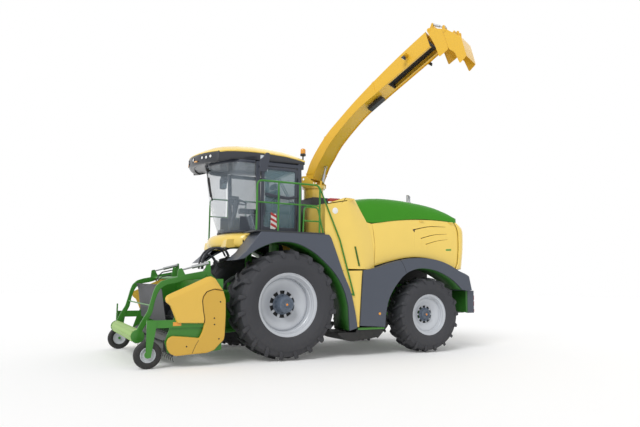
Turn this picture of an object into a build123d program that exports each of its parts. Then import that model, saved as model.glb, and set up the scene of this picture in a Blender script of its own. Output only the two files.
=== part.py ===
from build123d import *
import os
from math import asin, atan2, cos, degrees, pi, sqrt

# Self-propelled forage harvester with a pick-up header.
# Millimetres. The machine faces -Y, its left side is +X, and +Z is up.
# The origin is on the ground, under the middle of the front axle.

os.makedirs("parts", exist_ok=True)

# Running gear
WHEELBASE = 3070
FRONT_TYRE_R = 956
FRONT_TYRE_W = 650
FRONT_WHEEL_X = 1178
FRONT_RIM_R = 531
REAR_TYRE_R = 732
REAR_TYRE_W = 540
REAR_WHEEL_X = 1150
REAR_RIM_R = 381
RIM_LIP = 28
FRONT_LUG_H = 46
REAR_LUG_H = 38
LUG_T = 52
LUG_FOOT = 68
FRONT_DISH = -30
REAR_DISH = 60
SPINDLE_REACH = 55
BORE_DEPTH = 60
RIM_WALL = 30
SPINDLE_R = 80
RUN_GAP = 0.05
KINGPIN_X = 790
KINGPIN_R = 40
GAUGE_R = 215
GAUGE_W = 100
GAUGE_Y = -2357

# Chassis
RAIL_X = 390
RAIL_W = 120
RAIL_Z0 = FRONT_TYRE_R + 144
RAIL_H = 220
RAIL_FRONT = -480
RAIL_REAR = 4250
CROSS_Y = (1500, 2500, 3680, 4120)
ENGINE_TOP = 2500
PIPE_Y = 3560
PIPE_R = 70
HITCH_Z = 620
HITCH_PIN_R = 19

# Cab
CAB_X = 850
CAB_FLOOR_Z = 2190
CAB_TOP_Z = 3560
FLOOR_T = 60
SILL_Z = 2350
ROOF_T = 40
CAB_REAR_Y = 505
POST = 80
PILLAR_B_Y = -400
GLASS_T = 6
DOOR_T = 40
DOOR_GAP = 8
DOOR_HINGE_X = 868
DOOR_HINGE_Y = 429
DOOR_HINGES = (2550, 3250)
ROOF_X = 870
ROOF_SHOULDER_X = 600
ROOF_FRONT_Y = -1660
ROOF_CORNER_Y = -1497
VISOR_T = 15
SEAT_GAP = 0.3

# Body
SKIN = 20
FENDER_X0 = 860
FENDER_X1 = 1450
REAR_FENDER_X0 = 900
REAR_FENDER_X1 = 1430
DECK_Z = 2236
DECK_T = 26
BODY_X = 1400
HOOD_X = 1300
HOOD_FRONT_Y = 1480
HOOD_REAR_Y = 4230
HINGE_PIN_R = 8
HOOD_HINGE_X = 1312
HOOD_HINGE_Z = 2588
HOOD_HINGES = (2950, 3700)
RAILING_X = 1425
RAILING_Z = 3100
RAIL_TUBE_R = 17
HANDRAIL_X = 1420
GROOVE_DEPTH = 14

# Spout
SPOUT_Y = 1170
SPOUT_SLEW = 60
SPOUT_W = 450
SPOUT_WALL = 8
SPOUT_BASE_Z = 3050
TURN_Z = 3290
LIFT_R = -95
LIFT_Z = 3450
LIFT_PIN_LOW = (215, 3395)
LIFT_PIN_HIGH = (290, 3700)
FLAP_HINGE = (2670, 6035)
FLAP_PIN_R = 14
FLAP_PIN_LOW = (2660, 6218)
FLAP_PIN_HIGH = (2905, 6100)
TIP_HINGE = (2985, 5950)
SIDE_GAP = 6
PIN_R = 12
EYE_SLACK = 9
EYE_GAP = 26
EAR_T = 14
LIFT_TUBE_R = 32
FLAP_TUBE_R = 24

# Header
FEED_HINGE_Y = -560
FEED_HINGE_Z = 1120
FEED_X = 400
FEED_PIN_R = 40
HEADER_BACK_Y = -1190
HEADER_X = 1480
COVER_X = 1560
AUGER_Y = -1520
AUGER_Z = 700
AUGER_R = 262
REEL_Y = -1960
REEL_Z = 330
REEL_R = 270
REEL_X = 1380
TINE_BARS = 6
TINE_ROWS = 18
FLIGHT_T = 8
FLIGHT_PITCH = 480
COVER_GAP = 12
STUB_R = 25
HEADER_PIN_BASE = (-525, 480)
HEADER_PIN_EYE = (-1080, 430)
PRESS_Y = -1330
PRESS_Z = 1425
ROLLER_Y = -2460
ROLLER_Z = 470
ROLLER_R = 110
ROLLER_X = 1080


def block(x, y, z):
    """A plain block between three pairs of limits."""
    size = (x[1] - x[0], y[1] - y[0], z[1] - z[0])
    middle = Pos((x[0] + x[1]) / 2, (y[0] + y[1]) / 2, (z[0] + z[1]) / 2)
    return middle * Box(*size)


def side_plate(points, x0, x1):
    """An outline seen from the side, given as (y, z), from x0 to x1."""
    return extrude(Plane.YZ.offset(x0) * Polygon(*points, align=None), x1 - x0, dir=(1, 0, 0))


def bend(*points):
    """Arcs through the points, each through three in turn."""
    edges = ThreePointArc(*points[:3])
    for n in range(2, len(points) - 2, 2):
        edges += ThreePointArc(*points[n:n + 3])
    return edges


def side_form(edges, x0, x1):
    """A closed outline of lines and arcs seen from the side, from x0 to x1."""
    return extrude(Plane.YZ.offset(x0) * make_face(edges), x1 - x0, dir=(1, 0, 0))


def disc(r, x0, x1, y, z):
    """A round piece whose axis runs across the machine."""
    return Solid.make_cylinder(r, x1 - x0, Plane((x0, y, z), z_dir=(1, 0, 0)))


def post(r, x, y, z0, z1):
    return Solid.make_cylinder(r, z1 - z0, Plane((x, y, z0)))


def rod(a, b, r):
    run = Vector(*b) - Vector(*a)
    return Solid.make_cylinder(r, run.length, Plane(a, z_dir=run))


def rail(points, radii, r):
    """A bent round tube through its corner points: straight lengths and round bends."""
    tube = Part()
    for edge in FilletPolyline(*points, radius=radii).edges():
        section = Plane(edge @ 0, z_dir=edge % 0) * Circle(r)
        if edge.geom_type == GeomType.CIRCLE:
            axis = Axis(edge.arc_center, (edge @ 0 - edge.arc_center).cross(edge % 0))
            tube += revolve(section, axis, degrees(edge.length / edge.radius))
        else:
            tube += extrude(section, edge.length)
    return tube


def twin(shape):
    """The piece and its mirror image on the other side of the machine."""
    return shape + mirror(shape, Plane.YZ)


def turned(profile, x, y, z):
    """A wheel-like piece from its (x, radius) outline, moved to its axle."""
    face = Plane.XZ * Polygon(*profile, align=None)
    return Pos(x, y, z) * revolve(face, Axis.X)


def upright_hinge(z):
    """A lift-off hinge: the fixed pin with its two ears, and the barrel that turns on it."""
    x, y = DOOR_HINGE_X, DOOR_HINGE_Y
    fixed = post(HINGE_PIN_R, x, y, z - 80, z + 80)
    for low in (z - 80, z + 55):
        fixed += block((CAB_X, x + 8), (y - 8, y + 60), (low, low + 25))
    barrel = post(HINGE_PIN_R + 7, x, y, z - 50, z + 50) + block((CAB_X, x), (y - 40, y), (z - 50, z + 50))
    barrel -= post(HINGE_PIN_R + RUN_GAP, x, y, z - 60, z + 60)
    return fixed, barrel


def long_hinge(y):
    """The same hinge lying along the hood's side."""
    x, z = HOOD_HINGE_X, HOOD_HINGE_Z
    along = Plane((x, y - 70, z), z_dir=(0, 1, 0))
    fixed = Solid.make_cylinder(HINGE_PIN_R, 140, along)
    for low in (y - 70, y + 50):
        fixed += block((x - 6, x + 9), (low, low + 20), (z - 6, z + 32))
        fixed += block((x - 32, x), (low, low + 20), (z + 14, z + 32))
    along = Plane((x, y - 45, z), z_dir=(0, 1, 0))
    barrel = Solid.make_cylinder(HINGE_PIN_R + 6, 90, along)
    barrel += block((HOOD_X, x - 2), (y - 45, y + 45), (z - 40, z))
    barrel -= Solid.make_cylinder(HINGE_PIN_R + RUN_GAP, 110, Plane((x, y - 55, z), z_dir=(0, 1, 0)))
    return fixed, barrel


def cylinder_pair(a, b, tube_length, rod_start, tube_r, rod_r, x):
    """A tube pinned at a and a rod whose eye goes round the pin at b, both given as (y, z)."""
    run = Vector(0, b[0] - a[0], b[1] - a[1])
    way = run.normalized()
    base = Vector(x, *a)
    tip = Vector(x, *b)
    eye_r = PIN_R + EYE_SLACK
    bore_from = PIN_R + 8
    tube = Solid.make_cylinder(tube_r, tube_length - PIN_R, Plane(base + way * PIN_R, z_dir=way))
    tube += disc(tube_r, x - 15, x + 15, *a)
    tube -= Solid.make_cylinder(rod_r + RUN_GAP, tube_length, Plane(base + way * bore_from, z_dir=way))
    tube -= disc(PIN_R + RUN_GAP, x - tube_r - 1, x + tube_r + 1, *a)
    stem = run.length - rod_start
    piston = Solid.make_cylinder(rod_r, stem, Plane(base + way * rod_start, z_dir=way))
    piston += disc(eye_r + 12, x - 12, x + 12, *b)
    piston -= disc(eye_r, x - rod_r - 1, x + rod_r + 1, *b)
    return tube, piston


def on_spout(shape):
    """Put what was drawn along +Y from the spout's pivot into its slewed place."""
    return Pos(0, SPOUT_Y, 0) * Rot(0, 0, -SPOUT_SLEW) * shape


def save(name, shape):
    export_step(shape, os.path.join("parts", name + ".step"))


def tyre_outline(r, rim_r, width, lug, count):
    """The carcass under the lugs, drawn so that its flats stay outside the rim."""
    half = width / 2
    bead = 0.4 * width
    crown = r - lug
    flat = 1 / cos(pi / count)
    side = [(bead, rim_r * flat), (bead, (rim_r + RIM_LIP + 3) * flat), (half, rim_r + 0.5 * (r - rim_r)),
            (0.86 * half, crown)]
    return [(-x, z) for x, z in side] + side[::-1]


def ring_of_flats(outline, count):
    """A closed (x, radius) outline turned about the X axis in flat steps. Its corners lie on the outline."""
    step = 360 / count
    corners = [[Vector(x, 0, z).rotate(Axis.X, step * n) for x, z in outline] for n in range(count)]
    faces = []
    for n in range(count):
        near, far = corners[n], corners[(n + 1) % count]
        for k in range(len(outline)):
            m = (k + 1) % len(outline)
            faces.append(Face(Wire.make_polygon([near[k], near[m], far[m], far[k]])))
    return Solid(Shell(faces))


def tread(r, width, lug, count):
    """Slanted lugs on both halves of the tread, set half a step apart. Their far corners reach the tyre's radius."""
    half = 0.99 * width / 2
    reach = 0.14 * width
    plan = Polygon((3, -reach - LUG_T / 2), (3, -reach + LUG_T / 2), (half, reach + LUG_FOOT / 2),
                   (half, reach - LUG_FOOT / 2), align=None)
    top = sqrt(r ** 2 - (reach + LUG_T / 2) ** 2)
    low = r - lug - 95
    one = extrude(Plane.XY.offset(low) * plan, top - low, dir=(0, 0, 1))
    shoulder = Plane((0.76 * half, 0, top), x_dir=(0, 1, 0), z_dir=(0.42, 0, 1))
    one = split(one, bisect_by=shoulder, keep=Keep.BOTTOM)
    one = Rot(180 - degrees(asin((reach + LUG_T / 2) / r)), 0, 0) * one
    step = 360 / count
    other = Rot(-step / 2, 0, 0) * mirror(one, Plane.YZ)
    return [Rot(step * n, 0, 0) * shape for n in range(count) for shape in (one, other)]


def rim_outline(rim_r, width, dish, ring, hub_end, side):
    """Barrel and lips, a raised ring with the disc set in behind it, and a hub with a blind bore."""
    bead = 0.4 * width + 1
    lip = bead + 18
    hub_r = SPINDLE_R + 0.17 * rim_r
    outline = [(-lip, rim_r - RIM_WALL), (-lip, rim_r + RIM_LIP), (-bead, rim_r + RIM_LIP),
               (-bead, rim_r - 0.5), (bead, rim_r - 0.5), (bead, rim_r + RIM_LIP),
               (lip, rim_r + RIM_LIP), (lip, rim_r - RIM_WALL), (ring + 40, rim_r - RIM_WALL),
               (ring, 0.86 * rim_r), (ring, 0.66 * rim_r), (dish + 30, 0.62 * rim_r), (dish + 30, hub_r),
               (hub_end - 20, hub_r), (hub_end, hub_r - 20), (hub_end, 0), (dish + BORE_DEPTH, 0),
               (dish + BORE_DEPTH, SPINDLE_R + RUN_GAP), (dish, SPINDLE_R + RUN_GAP),
               (dish, 0.64 * rim_r), (ring - 30, 0.68 * rim_r), (ring - 30, rim_r - RIM_WALL)]
    return [(side * x, z) for x, z in outline]


# name, tyre radius, lug height, lugs on each half, rim radius, width, x, y, disc, ring and hub offsets
WHEELS = [
    ("front", FRONT_TYRE_R, FRONT_LUG_H, 16, FRONT_RIM_R, FRONT_TYRE_W, FRONT_WHEEL_X, 0, FRONT_DISH, 75, 232),
    ("rear", REAR_TYRE_R, REAR_LUG_H, 13, REAR_RIM_R, REAR_TYRE_W, REAR_WHEEL_X, WHEELBASE, REAR_DISH, 132, 152),
]


def wheels():
    for name, r, lug, count, rim_r, width, x, y, dish, ring, hub_end in WHEELS:
        carcass = ring_of_flats(tyre_outline(r, rim_r, width, lug, 2 * count), 2 * count)
        tyre = Pos(x, y, r) * carcass.fuse(*tread(r, width, lug, count))
        save(f"tyre_{name}_left", tyre)
        save(f"tyre_{name}_right", mirror(tyre, Plane.YZ))
        for side, word in ((1, "left"), (-1, "right")):
            outline = rim_outline(rim_r, width, dish, ring, hub_end, side)
            save(f"rim_{name}_{word}", turned(outline, side * x, y, r))


def gauge_wheels():
    half = GAUGE_W / 2
    outline = [(-20, 0), (-20, 90), (-half + 5, 110), (-half, GAUGE_R - 40), (-half + 15, GAUGE_R),
               (half - 15, GAUGE_R), (half, GAUGE_R - 40), (half - 5, 110), (20, 90), (20, 0)]
    x = HEADER_X - 30
    for side, word in ((1, "left"), (-1, "right")):
        wheel = turned(outline, side * x, GAUGE_Y, GAUGE_R)
        wheel -= disc(STUB_R + RUN_GAP, side * x - half, side * x + half, GAUGE_Y, GAUGE_R)
        save(f"gauge_wheel_{word}", wheel)


def front_axle():
    z = FRONT_TYRE_R
    motor_end = FRONT_WHEEL_X + FRONT_DISH - 10
    axle = disc(140, -700, 700, 0, z)
    axle += twin(disc(230, 700, motor_end, 0, z))
    axle += twin(disc(SPINDLE_R, motor_end, FRONT_WHEEL_X + FRONT_DISH + SPINDLE_REACH, 0, z))
    axle += twin(block((RAIL_X + 5, RAIL_X + RAIL_W - 5), (-110, 110), (z, RAIL_Z0)))
    save("front_axle", axle)


def rear_axle():
    z = REAR_TYRE_R
    axle = block((-690, 690), (WHEELBASE - 90, WHEELBASE + 90), (z - 80, z + 80))
    axle += block((-160, 160), (WHEELBASE - 150, WHEELBASE + 150), (z + 80, RAIL_Z0))
    outer = RAIL_X + RAIL_W
    axle += block((-outer, outer), (WHEELBASE - 60, WHEELBASE + 60), (RAIL_Z0 - 60, RAIL_Z0))
    axle += twin(block((690, KINGPIN_X + 60), (WHEELBASE - 60, WHEELBASE + 60), (z - 60, z + 60)))
    axle -= twin(post(KINGPIN_R + RUN_GAP, KINGPIN_X, WHEELBASE, z - 90, z + 90))
    axle += disc(45, -300, 300, WHEELBASE + 125, z)
    save("rear_axle", axle)


def knuckles():
    z = REAR_TYRE_R
    hub = REAR_WHEEL_X + REAR_DISH - 2
    for side, word in ((1, "left"), (-1, "right")):
        yoke = block((KINGPIN_X - 50, KINGPIN_X + 130), (WHEELBASE - 50, WHEELBASE + 50), (z - 110, z + 110))
        yoke -= block((KINGPIN_X - 60, KINGPIN_X + 95), (WHEELBASE - 60, WHEELBASE + 60), (z - 66, z + 66))
        yoke += post(KINGPIN_R, KINGPIN_X, WHEELBASE, z - 100, z + 100)
        yoke += disc(130, KINGPIN_X + 130, hub, WHEELBASE, z)
        yoke += disc(SPINDLE_R, hub, REAR_WHEEL_X + REAR_DISH + SPINDLE_REACH, WHEELBASE, z)
        save(f"knuckle_{word}", yoke if side == 1 else mirror(yoke, Plane.YZ))


def main_frame():
    """The two long rails, each with its front leg and the ears of the feeder and header pins."""
    inner, outer = RAIL_X, RAIL_X + RAIL_W
    top = RAIL_Z0 + RAIL_H
    side = block((inner, outer), (RAIL_FRONT, RAIL_REAR), (RAIL_Z0, top))
    side += block((inner, outer), (RAIL_FRONT, RAIL_FRONT + 160), (420, RAIL_Z0))
    lug = block((FEED_X, FEED_X + 40), (FEED_HINGE_Y - 60, RAIL_FRONT), (FEED_HINGE_Z - 60, FEED_HINGE_Z + 60))
    side += lug - disc(FEED_PIN_R + RUN_GAP, FEED_X - 1, FEED_X + 41, FEED_HINGE_Y, FEED_HINGE_Z)
    y, z = HEADER_PIN_BASE
    middle = RAIL_X + RAIL_W / 2
    for x in (middle - 56, middle + 42):
        side += block((x, x + 14), (y - 30, RAIL_FRONT), (z - 30, z + 30))
    side += disc(PIN_R, middle - 50, middle + 50, y, z)
    save("main_frame", twin(side))


def frame_crosses():
    """The members across the frame, one of them low down between the front legs."""
    crosses = block((-RAIL_X, RAIL_X), (RAIL_FRONT + 60, RAIL_FRONT + 160), (420, 520))
    for y in CROSS_Y:
        crosses += block((-RAIL_X, RAIL_X), (y, y + RAIL_W), (RAIL_Z0, RAIL_Z0 + RAIL_H))
    save("frame_crosses", crosses)


def frame_brackets():
    """Arms on the rails' outer sides that carry the platforms, the cab and the fenders."""
    outer = RAIL_X + RAIL_W
    top = RAIL_Z0 + RAIL_H
    arms = Part()
    for y in (WHEELBASE - 1580, WHEELBASE + 710):
        arms += twin(block((outer, REAR_FENDER_X0), (y, y + 70), (top - 80, top)))
    for y in (-40, 560):
        arm = block((outer, 720), (y, y + 100), (top - 120, top)) + block((600, 720), (y, y + 100), (top, CAB_FLOOR_Z))
        arms += twin(arm + block((720, 1300), (y, y + 60), (CAB_FLOOR_Z - 80, CAB_FLOOR_Z)))
    save("frame_brackets", arms)


def tow_bracket():
    """The hitch's forked block, hung under the last member."""
    hitch = block((-60, 60), (RAIL_REAR - 130, RAIL_REAR + 120), (HITCH_Z - 60, HITCH_Z + 60))
    hitch -= block((-70, 70), (RAIL_REAR + 10, RAIL_REAR + 130), (HITCH_Z - 25, HITCH_Z + 25))
    hitch -= post(HITCH_PIN_R, 0, RAIL_REAR + 70, HITCH_Z - 80, HITCH_Z + 80)
    hitch += block((-60, 60), (RAIL_REAR - 130, RAIL_REAR - 30), (HITCH_Z + 60, RAIL_Z0))
    save("tow_bracket", hitch)


def engine():
    y0, y1 = CROSS_Y[1] + 20, CROSS_Y[2] + RAIL_W - 20
    save("engine_block", block((-RAIL_X + 10, RAIL_X - 10), (y0, y1), (RAIL_Z0 + RAIL_H, ENGINE_TOP)))


def crop_housing():
    outline = [(-530, 560), (-250, 560), (-200, 1120), (300, 1120), (900, 1450), (1345, 2050),
               (1345, 3050), (995, 3050), (940, 2250), (640, 1750), (-200, 1560), (-530, 1240)]
    housing = side_plate(outline, -330, 330)
    housing += twin(disc(60, 330, RAIL_X, -400, 1250))
    save("crop_housing", housing)


def cab_section(z, front):
    """The cab's outline at one height: a bowed front and straight sides."""
    corner = front + 270
    back = PILLAR_B_Y
    arc = ThreePointArc((-CAB_X + 40, corner), (0, front), (CAB_X - 40, corner))
    side = Polyline((CAB_X - 40, corner), (CAB_X, corner + 80), (CAB_X, back), (-CAB_X, back),
                    (-CAB_X, corner + 80), (-CAB_X + 40, corner))
    return Plane.XY.offset(z) * make_face(arc + side)


# height, front of the windscreen on the centreline
WINDSCREEN = [(CAB_FLOOR_Z + 60, -880), (2870, -1044), (CAB_TOP_Z, -1115)]


def cab_glass():
    outer = loft([cab_section(z, y) for z, y in WINDSCREEN], ruled=True)
    inner = loft([offset(cab_section(z, y), -GLASS_T) for z, y in WINDSCREEN], ruled=True)
    z0, z1 = WINDSCREEN[0][0], WINDSCREEN[-1][0]
    inner += block((-CAB_X + GLASS_T, CAB_X - GLASS_T), (PILLAR_B_Y - 2 * GLASS_T, PILLAR_B_Y), (z0, z1))
    glass = outer - inner
    z0, z1 = SILL_Z, CAB_TOP_Z - POST
    glass += block((-CAB_X + 20, -CAB_X + 20 + GLASS_T), (PILLAR_B_Y + POST, CAB_REAR_Y - POST), (z0, z1))
    glass += block((-CAB_X + POST, CAB_X - POST), (CAB_REAR_Y - 40, CAB_REAR_Y - 40 + GLASS_T), (z0 + 250, z1))
    save("cab_glass", glass)


def cab_body():
    z0, z1 = CAB_FLOOR_Z, CAB_TOP_Z
    floor = z0 + FLOOR_T
    top = z1 - POST
    outline = [(-1240, 1990), (-1180, 1935), (-700, 2000), (-330, 2050), (-330, z0), (-1240, z0)]
    hollow = [(-1200, 2020), (-700, 2040), (-370, 2080), (-370, z0), (-1200, z0)]
    nose = side_plate(outline, -CAB_X, CAB_X) - side_plate(hollow, -CAB_X + SKIN, CAB_X - SKIN)
    body = nose + block((-CAB_X, CAB_X), (-1100, CAB_REAR_Y), (z0, floor))
    body += block((-CAB_X, CAB_X), (-1240, -1100), (z0, z0 + SKIN))
    for y in (PILLAR_B_Y, CAB_REAR_Y - POST):
        body += twin(block((CAB_X - POST, CAB_X), (y, y + POST), (floor, top)))
    body += twin(block((CAB_X - POST, CAB_X), (PILLAR_B_Y, CAB_REAR_Y), (top, z1)))
    body += block((-CAB_X, CAB_X), (CAB_REAR_Y - POST, CAB_REAR_Y), (top, z1))
    body += block((-CAB_X, CAB_X), (CAB_REAR_Y - POST, CAB_REAR_Y), (floor, SILL_Z + 250))
    body += block((-CAB_X, -CAB_X + POST), (PILLAR_B_Y, CAB_REAR_Y), (floor, SILL_Z))
    for z in DOOR_HINGES:
        body += upright_hinge(z)[0]
    save("cab_body", body)


def cab_door():
    y0, y1 = PILLAR_B_Y + POST + DOOR_GAP, CAB_REAR_Y - POST - DOOR_GAP
    z0, z1 = CAB_FLOOR_Z + FLOOR_T + DOOR_GAP, CAB_TOP_Z - POST - DOOR_GAP
    x0, x1 = CAB_X - DOOR_T, CAB_X
    door = block((x0, x1), (y0, y1), (z0, z1))
    door -= block((x0 - 1, x1 + 1), (y0 + 45, y1 - 45), (z0 + 90, z1 - 45))
    door += block((x0 + 15, x0 + 15 + GLASS_T), (y0 + 45, y1 - 45), (z0 + 90, z1 - 45))
    for z in DOOR_HINGES:
        door += upright_hinge(z)[1]
    save("cab_door", door)


# place along the machine, height of the roof's edge, of its shoulder and of its middle
ROOF = [
    (ROOF_FRONT_Y, 3500, 3535, 3545),
    (-1455, 3580, 3656, 3672),
    (-1252, 3645, 3744, 3765),
    (-984, 3695, 3812, 3838),
    (-458, 3724, 3864, 3895),
    (160, 3705, 3832, 3860),
    (567, 3640, 3734, 3752),
]


def roof_section(y, edge, shoulder, top, inset):
    side, bend_x = ROOF_X - inset, ROOF_SHOULDER_X - 0.4 * inset
    points = [(-side, edge), (-bend_x, shoulder), (0, top), (bend_x, shoulder), (side, edge)]
    face = make_face(Polyline(*points, close=True))
    return Plane((0, y, -inset), x_dir=(1, 0, 0), z_dir=(0, -1, 0)) * face


def roof_plan(inset):
    """The roof from above: a bowed front and straight sides."""
    x, rear = ROOF_X - inset, ROOF[-1][0] - inset
    front = ThreePointArc((-x, ROOF_CORNER_Y + inset), (0, ROOF_FRONT_Y + inset), (x, ROOF_CORNER_Y + inset))
    return make_face(front + Polyline((x, ROOF_CORNER_Y + inset), (x, rear), (-x, rear), (-x, ROOF_CORNER_Y + inset)))


def cab_roof():
    """The roof cap: a thin crowned shell with a bowed front edge."""
    cap = loft([roof_section(*row, 0) for row in ROOF], ruled=True)
    cap -= loft([roof_section(*row, ROOF_T) for row in ROOF], ruled=True)
    save("cab_roof", cap & Pos(0, 0, 3400) * extrude(roof_plan(0), 600))


def cab_interior():
    floor = CAB_FLOOR_Z + FLOOR_T
    seat = block((-250, 250), (-120, 330), (2560, 2680))
    seat += block((-240, 240), (240, 340), (2680, 3250))
    seat += block((-180, 180), (-50, 280), (floor, 2560))
    column = block((-70, 70), (-700, -560), (floor, floor + 60))
    column += rod((0, -630, floor + 30), (0, -480, 2900), 45)
    column += Plane((0, -480, 2900), z_dir=(0, 0.3, 1)) * Cylinder(190, 30)
    save("cab_interior", Compound([seat.solid(), column.solid()]))


def platforms():
    save("platforms", twin(block((CAB_X + 12, FENDER_X1 - 5), (-632, 700), (DECK_Z - DECK_T, DECK_Z))))


def handrails():
    """The loop by the cab door, and the long rail from the railing down past the body."""
    x = HANDRAIL_X
    r = RAIL_TUBE_R - 3
    loop = rail([(x, 273, DECK_Z - 10), (x, 290, 2690), (x, 560, 2690), (x, 680, DECK_Z - 10)], 70, r)
    loop -= block((x - 30, x + 30), (200, 800), (DECK_Z - 60, DECK_Z))
    loop += rod((x, 281, 2440), (x, 625, 2440), r)
    long_rail = rail([(x, 600, 3060), (x, 1026, 2124), (x, 1332, 1110)], 400, r)
    for y, z in ((900, 2402), (1150, 1713)):
        long_rail += disc(9, BODY_X, x, y, z)
    foot = side_plate([(1263, 1120), (1256, 1150), (1322, 1150), (1330, 1120)], x - 5, x + 5)
    return loop, long_rail + foot


def railings():
    z, x = RAILING_Z, RAILING_X
    y0, y1 = -612, 600
    frame = rail([(x, y0, DECK_Z), (x, y0, z), (x, y1, z), (x, y1, DECK_Z)], 90, RAIL_TUBE_R)
    frame += rod((x, y0, 2720), (x, y1, 2720), RAIL_TUBE_R - 4)
    for y in (-210, 200):
        frame += rod((x, y, DECK_Z), (x, y, z), RAIL_TUBE_R - 2)
    loop, long_rail = handrails()
    save("railings", twin(frame + long_rail + loop))


def front_arch():
    """The front fender from the side: a flat deck, a long rear leg and the round wheel arch."""
    deck = Polyline((-961, 1708), (-788, 1864), (-529, 2210), (790, 2210))
    knee = ThreePointArc((790, 2210), (818, 2196), (833, 2162))
    leg = Polyline((833, 2162), (1100, 1502), (1247, 1188), (1396, 522), (1230, 474), (1198, 919))
    arch = bend((1198, 919), (1022, 1367), (713, 1706), (294, 1976), (-107, 2047), (-400, 2000), (-494, 1948))
    return make_face(deck + knee + leg + arch + Polyline((-494, 1948), (-820, 1740), (-961, 1708)))


def rear_arch():
    """The rear fender from the side, measured from the wheel's middle, with its front leg and its hooked end."""
    leg = Polyline((-1063, -206), (-1610, -172), (-1540, 848), (-1265, 898))
    top = bend((-1265, 898), (-717, 1051), (-228, 1110), (281, 1053), (717, 877))
    tail = Polyline((717, 877), (984, 764), (1055, 483), (970, 468), (800, 495))
    arch = bend((800, 495), (335, 802), (-175, 907), (-505, 835), (-719, 676), (-983, 286), (-1063, -206))
    return make_face(leg + top + tail + arch)


def pocketed(face, x0, x1):
    """A panel with rims all round, open towards the middle of the machine."""
    inner = offset(face, -SKIN, kind=Kind.INTERSECTION)
    body = extrude(Plane.YZ.offset(x0) * face, x1 - x0, dir=(1, 0, 0))
    return body - extrude(Plane.YZ.offset(x0) * inner, x1 - x0 - SKIN, dir=(1, 0, 0))


def tail_lamp():
    """The plate that hangs under the rear fender's end, with its two lamps."""
    x0, x1 = REAR_FENDER_X1 - 160, REAR_FENDER_X1 - 80
    plate = block((x0, x1), (1022, 1042), (14, 488))
    return plate + block((x0 + 12, x1 - 12), (1042, 1072), (40, 150)) + block((x0 + 12, x1 - 12), (1042, 1072), (200, 330))


def fenders():
    save("front_fenders", twin(pocketed(front_arch(), FENDER_X0, FENDER_X1)))
    rear = pocketed(rear_arch(), REAR_FENDER_X0, REAR_FENDER_X1) + tail_lamp()
    save("rear_fenders", twin(Pos(0, WHEELBASE, REAR_TYRE_R) * rear))


# height, y of the crease, y of the rolled rear edge, x of that edge
PANEL = [(1640, 1545, 1797, 1322), (2060, 1370, 1765, 1322), (2480, 1250, 1690, 1325), (2930, 1150, 1379, 1345)]


def panel_section(z, crease, rear, edge):
    """The body panel at one height: straight past the cab, then turned in towards the hood."""
    t = SKIN
    points = [(BODY_X, 745), (BODY_X, crease), (edge, rear), (edge - t, rear), (BODY_X - t, crease - 8), (BODY_X - t, 745)]
    return Plane.XY.offset(z) * Polygon(*points, align=None)


def side_panels():
    strip = [(745, 2790), (745, 2212), (800, 2212), (850, 2180), (975, 1880), (1215, 1546), (1440, 540), (1452, 540),
             (1518, 1590), (1540, 1600), (1300, 2930), (1240, 2930)]
    panel = side_plate(strip, BODY_X - SKIN, BODY_X)
    rolled = loft([panel_section(*row) for row in PANEL], ruled=True)
    rolled -= side_plate([(700, 1500), (1558, 1500), (1540, 1602), (1150, 2930), (1150, 3000), (700, 3000)],
                         BODY_X - SKIN - 1, BODY_X + 1)
    panel += rolled
    panel += block((450, BODY_X - SKIN), (745, 745 + SKIN), (2210, 2790))
    panel += side_plate([(745, 2790 - SKIN), (1300, 2930 - SKIN), (1300, 2930), (745, 2790)], 450, BODY_X)
    save("side_panels", twin(panel))


def side_boxes():
    """The low tank on each side, with the step plate on top of it."""
    tank = Polyline((1900, 340), (2000, 440), (2000, 500), (1412, 500), (1412, 440), (1000, 440))
    box = side_form(tank + bend((1000, 440), (1180, 310), (1349, 275)) + Polyline((1349, 275), (1900, 340)), 560, 1380)
    box += block((560, 700), (1640, 1760), (500, RAIL_Z0 + 60))
    box += block((RAIL_X + RAIL_W, 700), (1640, 1760), (RAIL_Z0, RAIL_Z0 + 60))
    box += block((1100, 1400), (1430, 2008), (500, 520)) + block((1380, 1400), (1430, 2008), (485, 500))
    save("side_boxes", twin(box))


# distance from the front axle, edge height, shoulder height, top height, shoulder half width
HOOD = [
    (HOOD_FRONT_Y, 2560, 2960, 3010, 700),
    (2200, 2560, 3090, 3138, 700),
    (3345, 2630, 3040, 3190, 700),
    (HOOD_REAR_Y, 2600, 2780, 2960, 640),
]


def hood_section(y, edge, shoulder, top, half, inset):
    x = HOOD_X - inset
    bend = half - 0.4 * inset
    points = [(-x, edge), (-bend, shoulder - inset), (0, top - inset), (bend, shoulder - inset), (x, edge)]
    face = make_face(Polyline(*points, close=True))
    return Plane((0, y, 0), x_dir=(1, 0, 0), z_dir=(0, -1, 0)) * face


def hood_top():
    outer = loft([hood_section(*row, 0) for row in HOOD], ruled=True)
    inner = loft([hood_section(*row, SKIN + 10) for row in HOOD], ruled=True)
    hood = outer - inner
    for row, way in ((HOOD[0], 1), (HOOD[-1], -1)):
        hood += extrude(hood_section(*row, 0), SKIN, dir=(0, way, 0))
    hood -= post(PIPE_R + 6, 0, PIPE_Y, 2900, 3400)
    for y in HOOD_HINGES:
        hood += twin(long_hinge(y)[0])
    save("hood_top", hood)


HOOD_DOOR = [(1800, 2450), (2806, 2595), (3830, 2585), (3930, 2440), (3930, 2065), (3870, 1680), (3787, 1650),
             (3351, 1825), (2842, 1882), (2353, 1823), (1850, 1690)]


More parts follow.
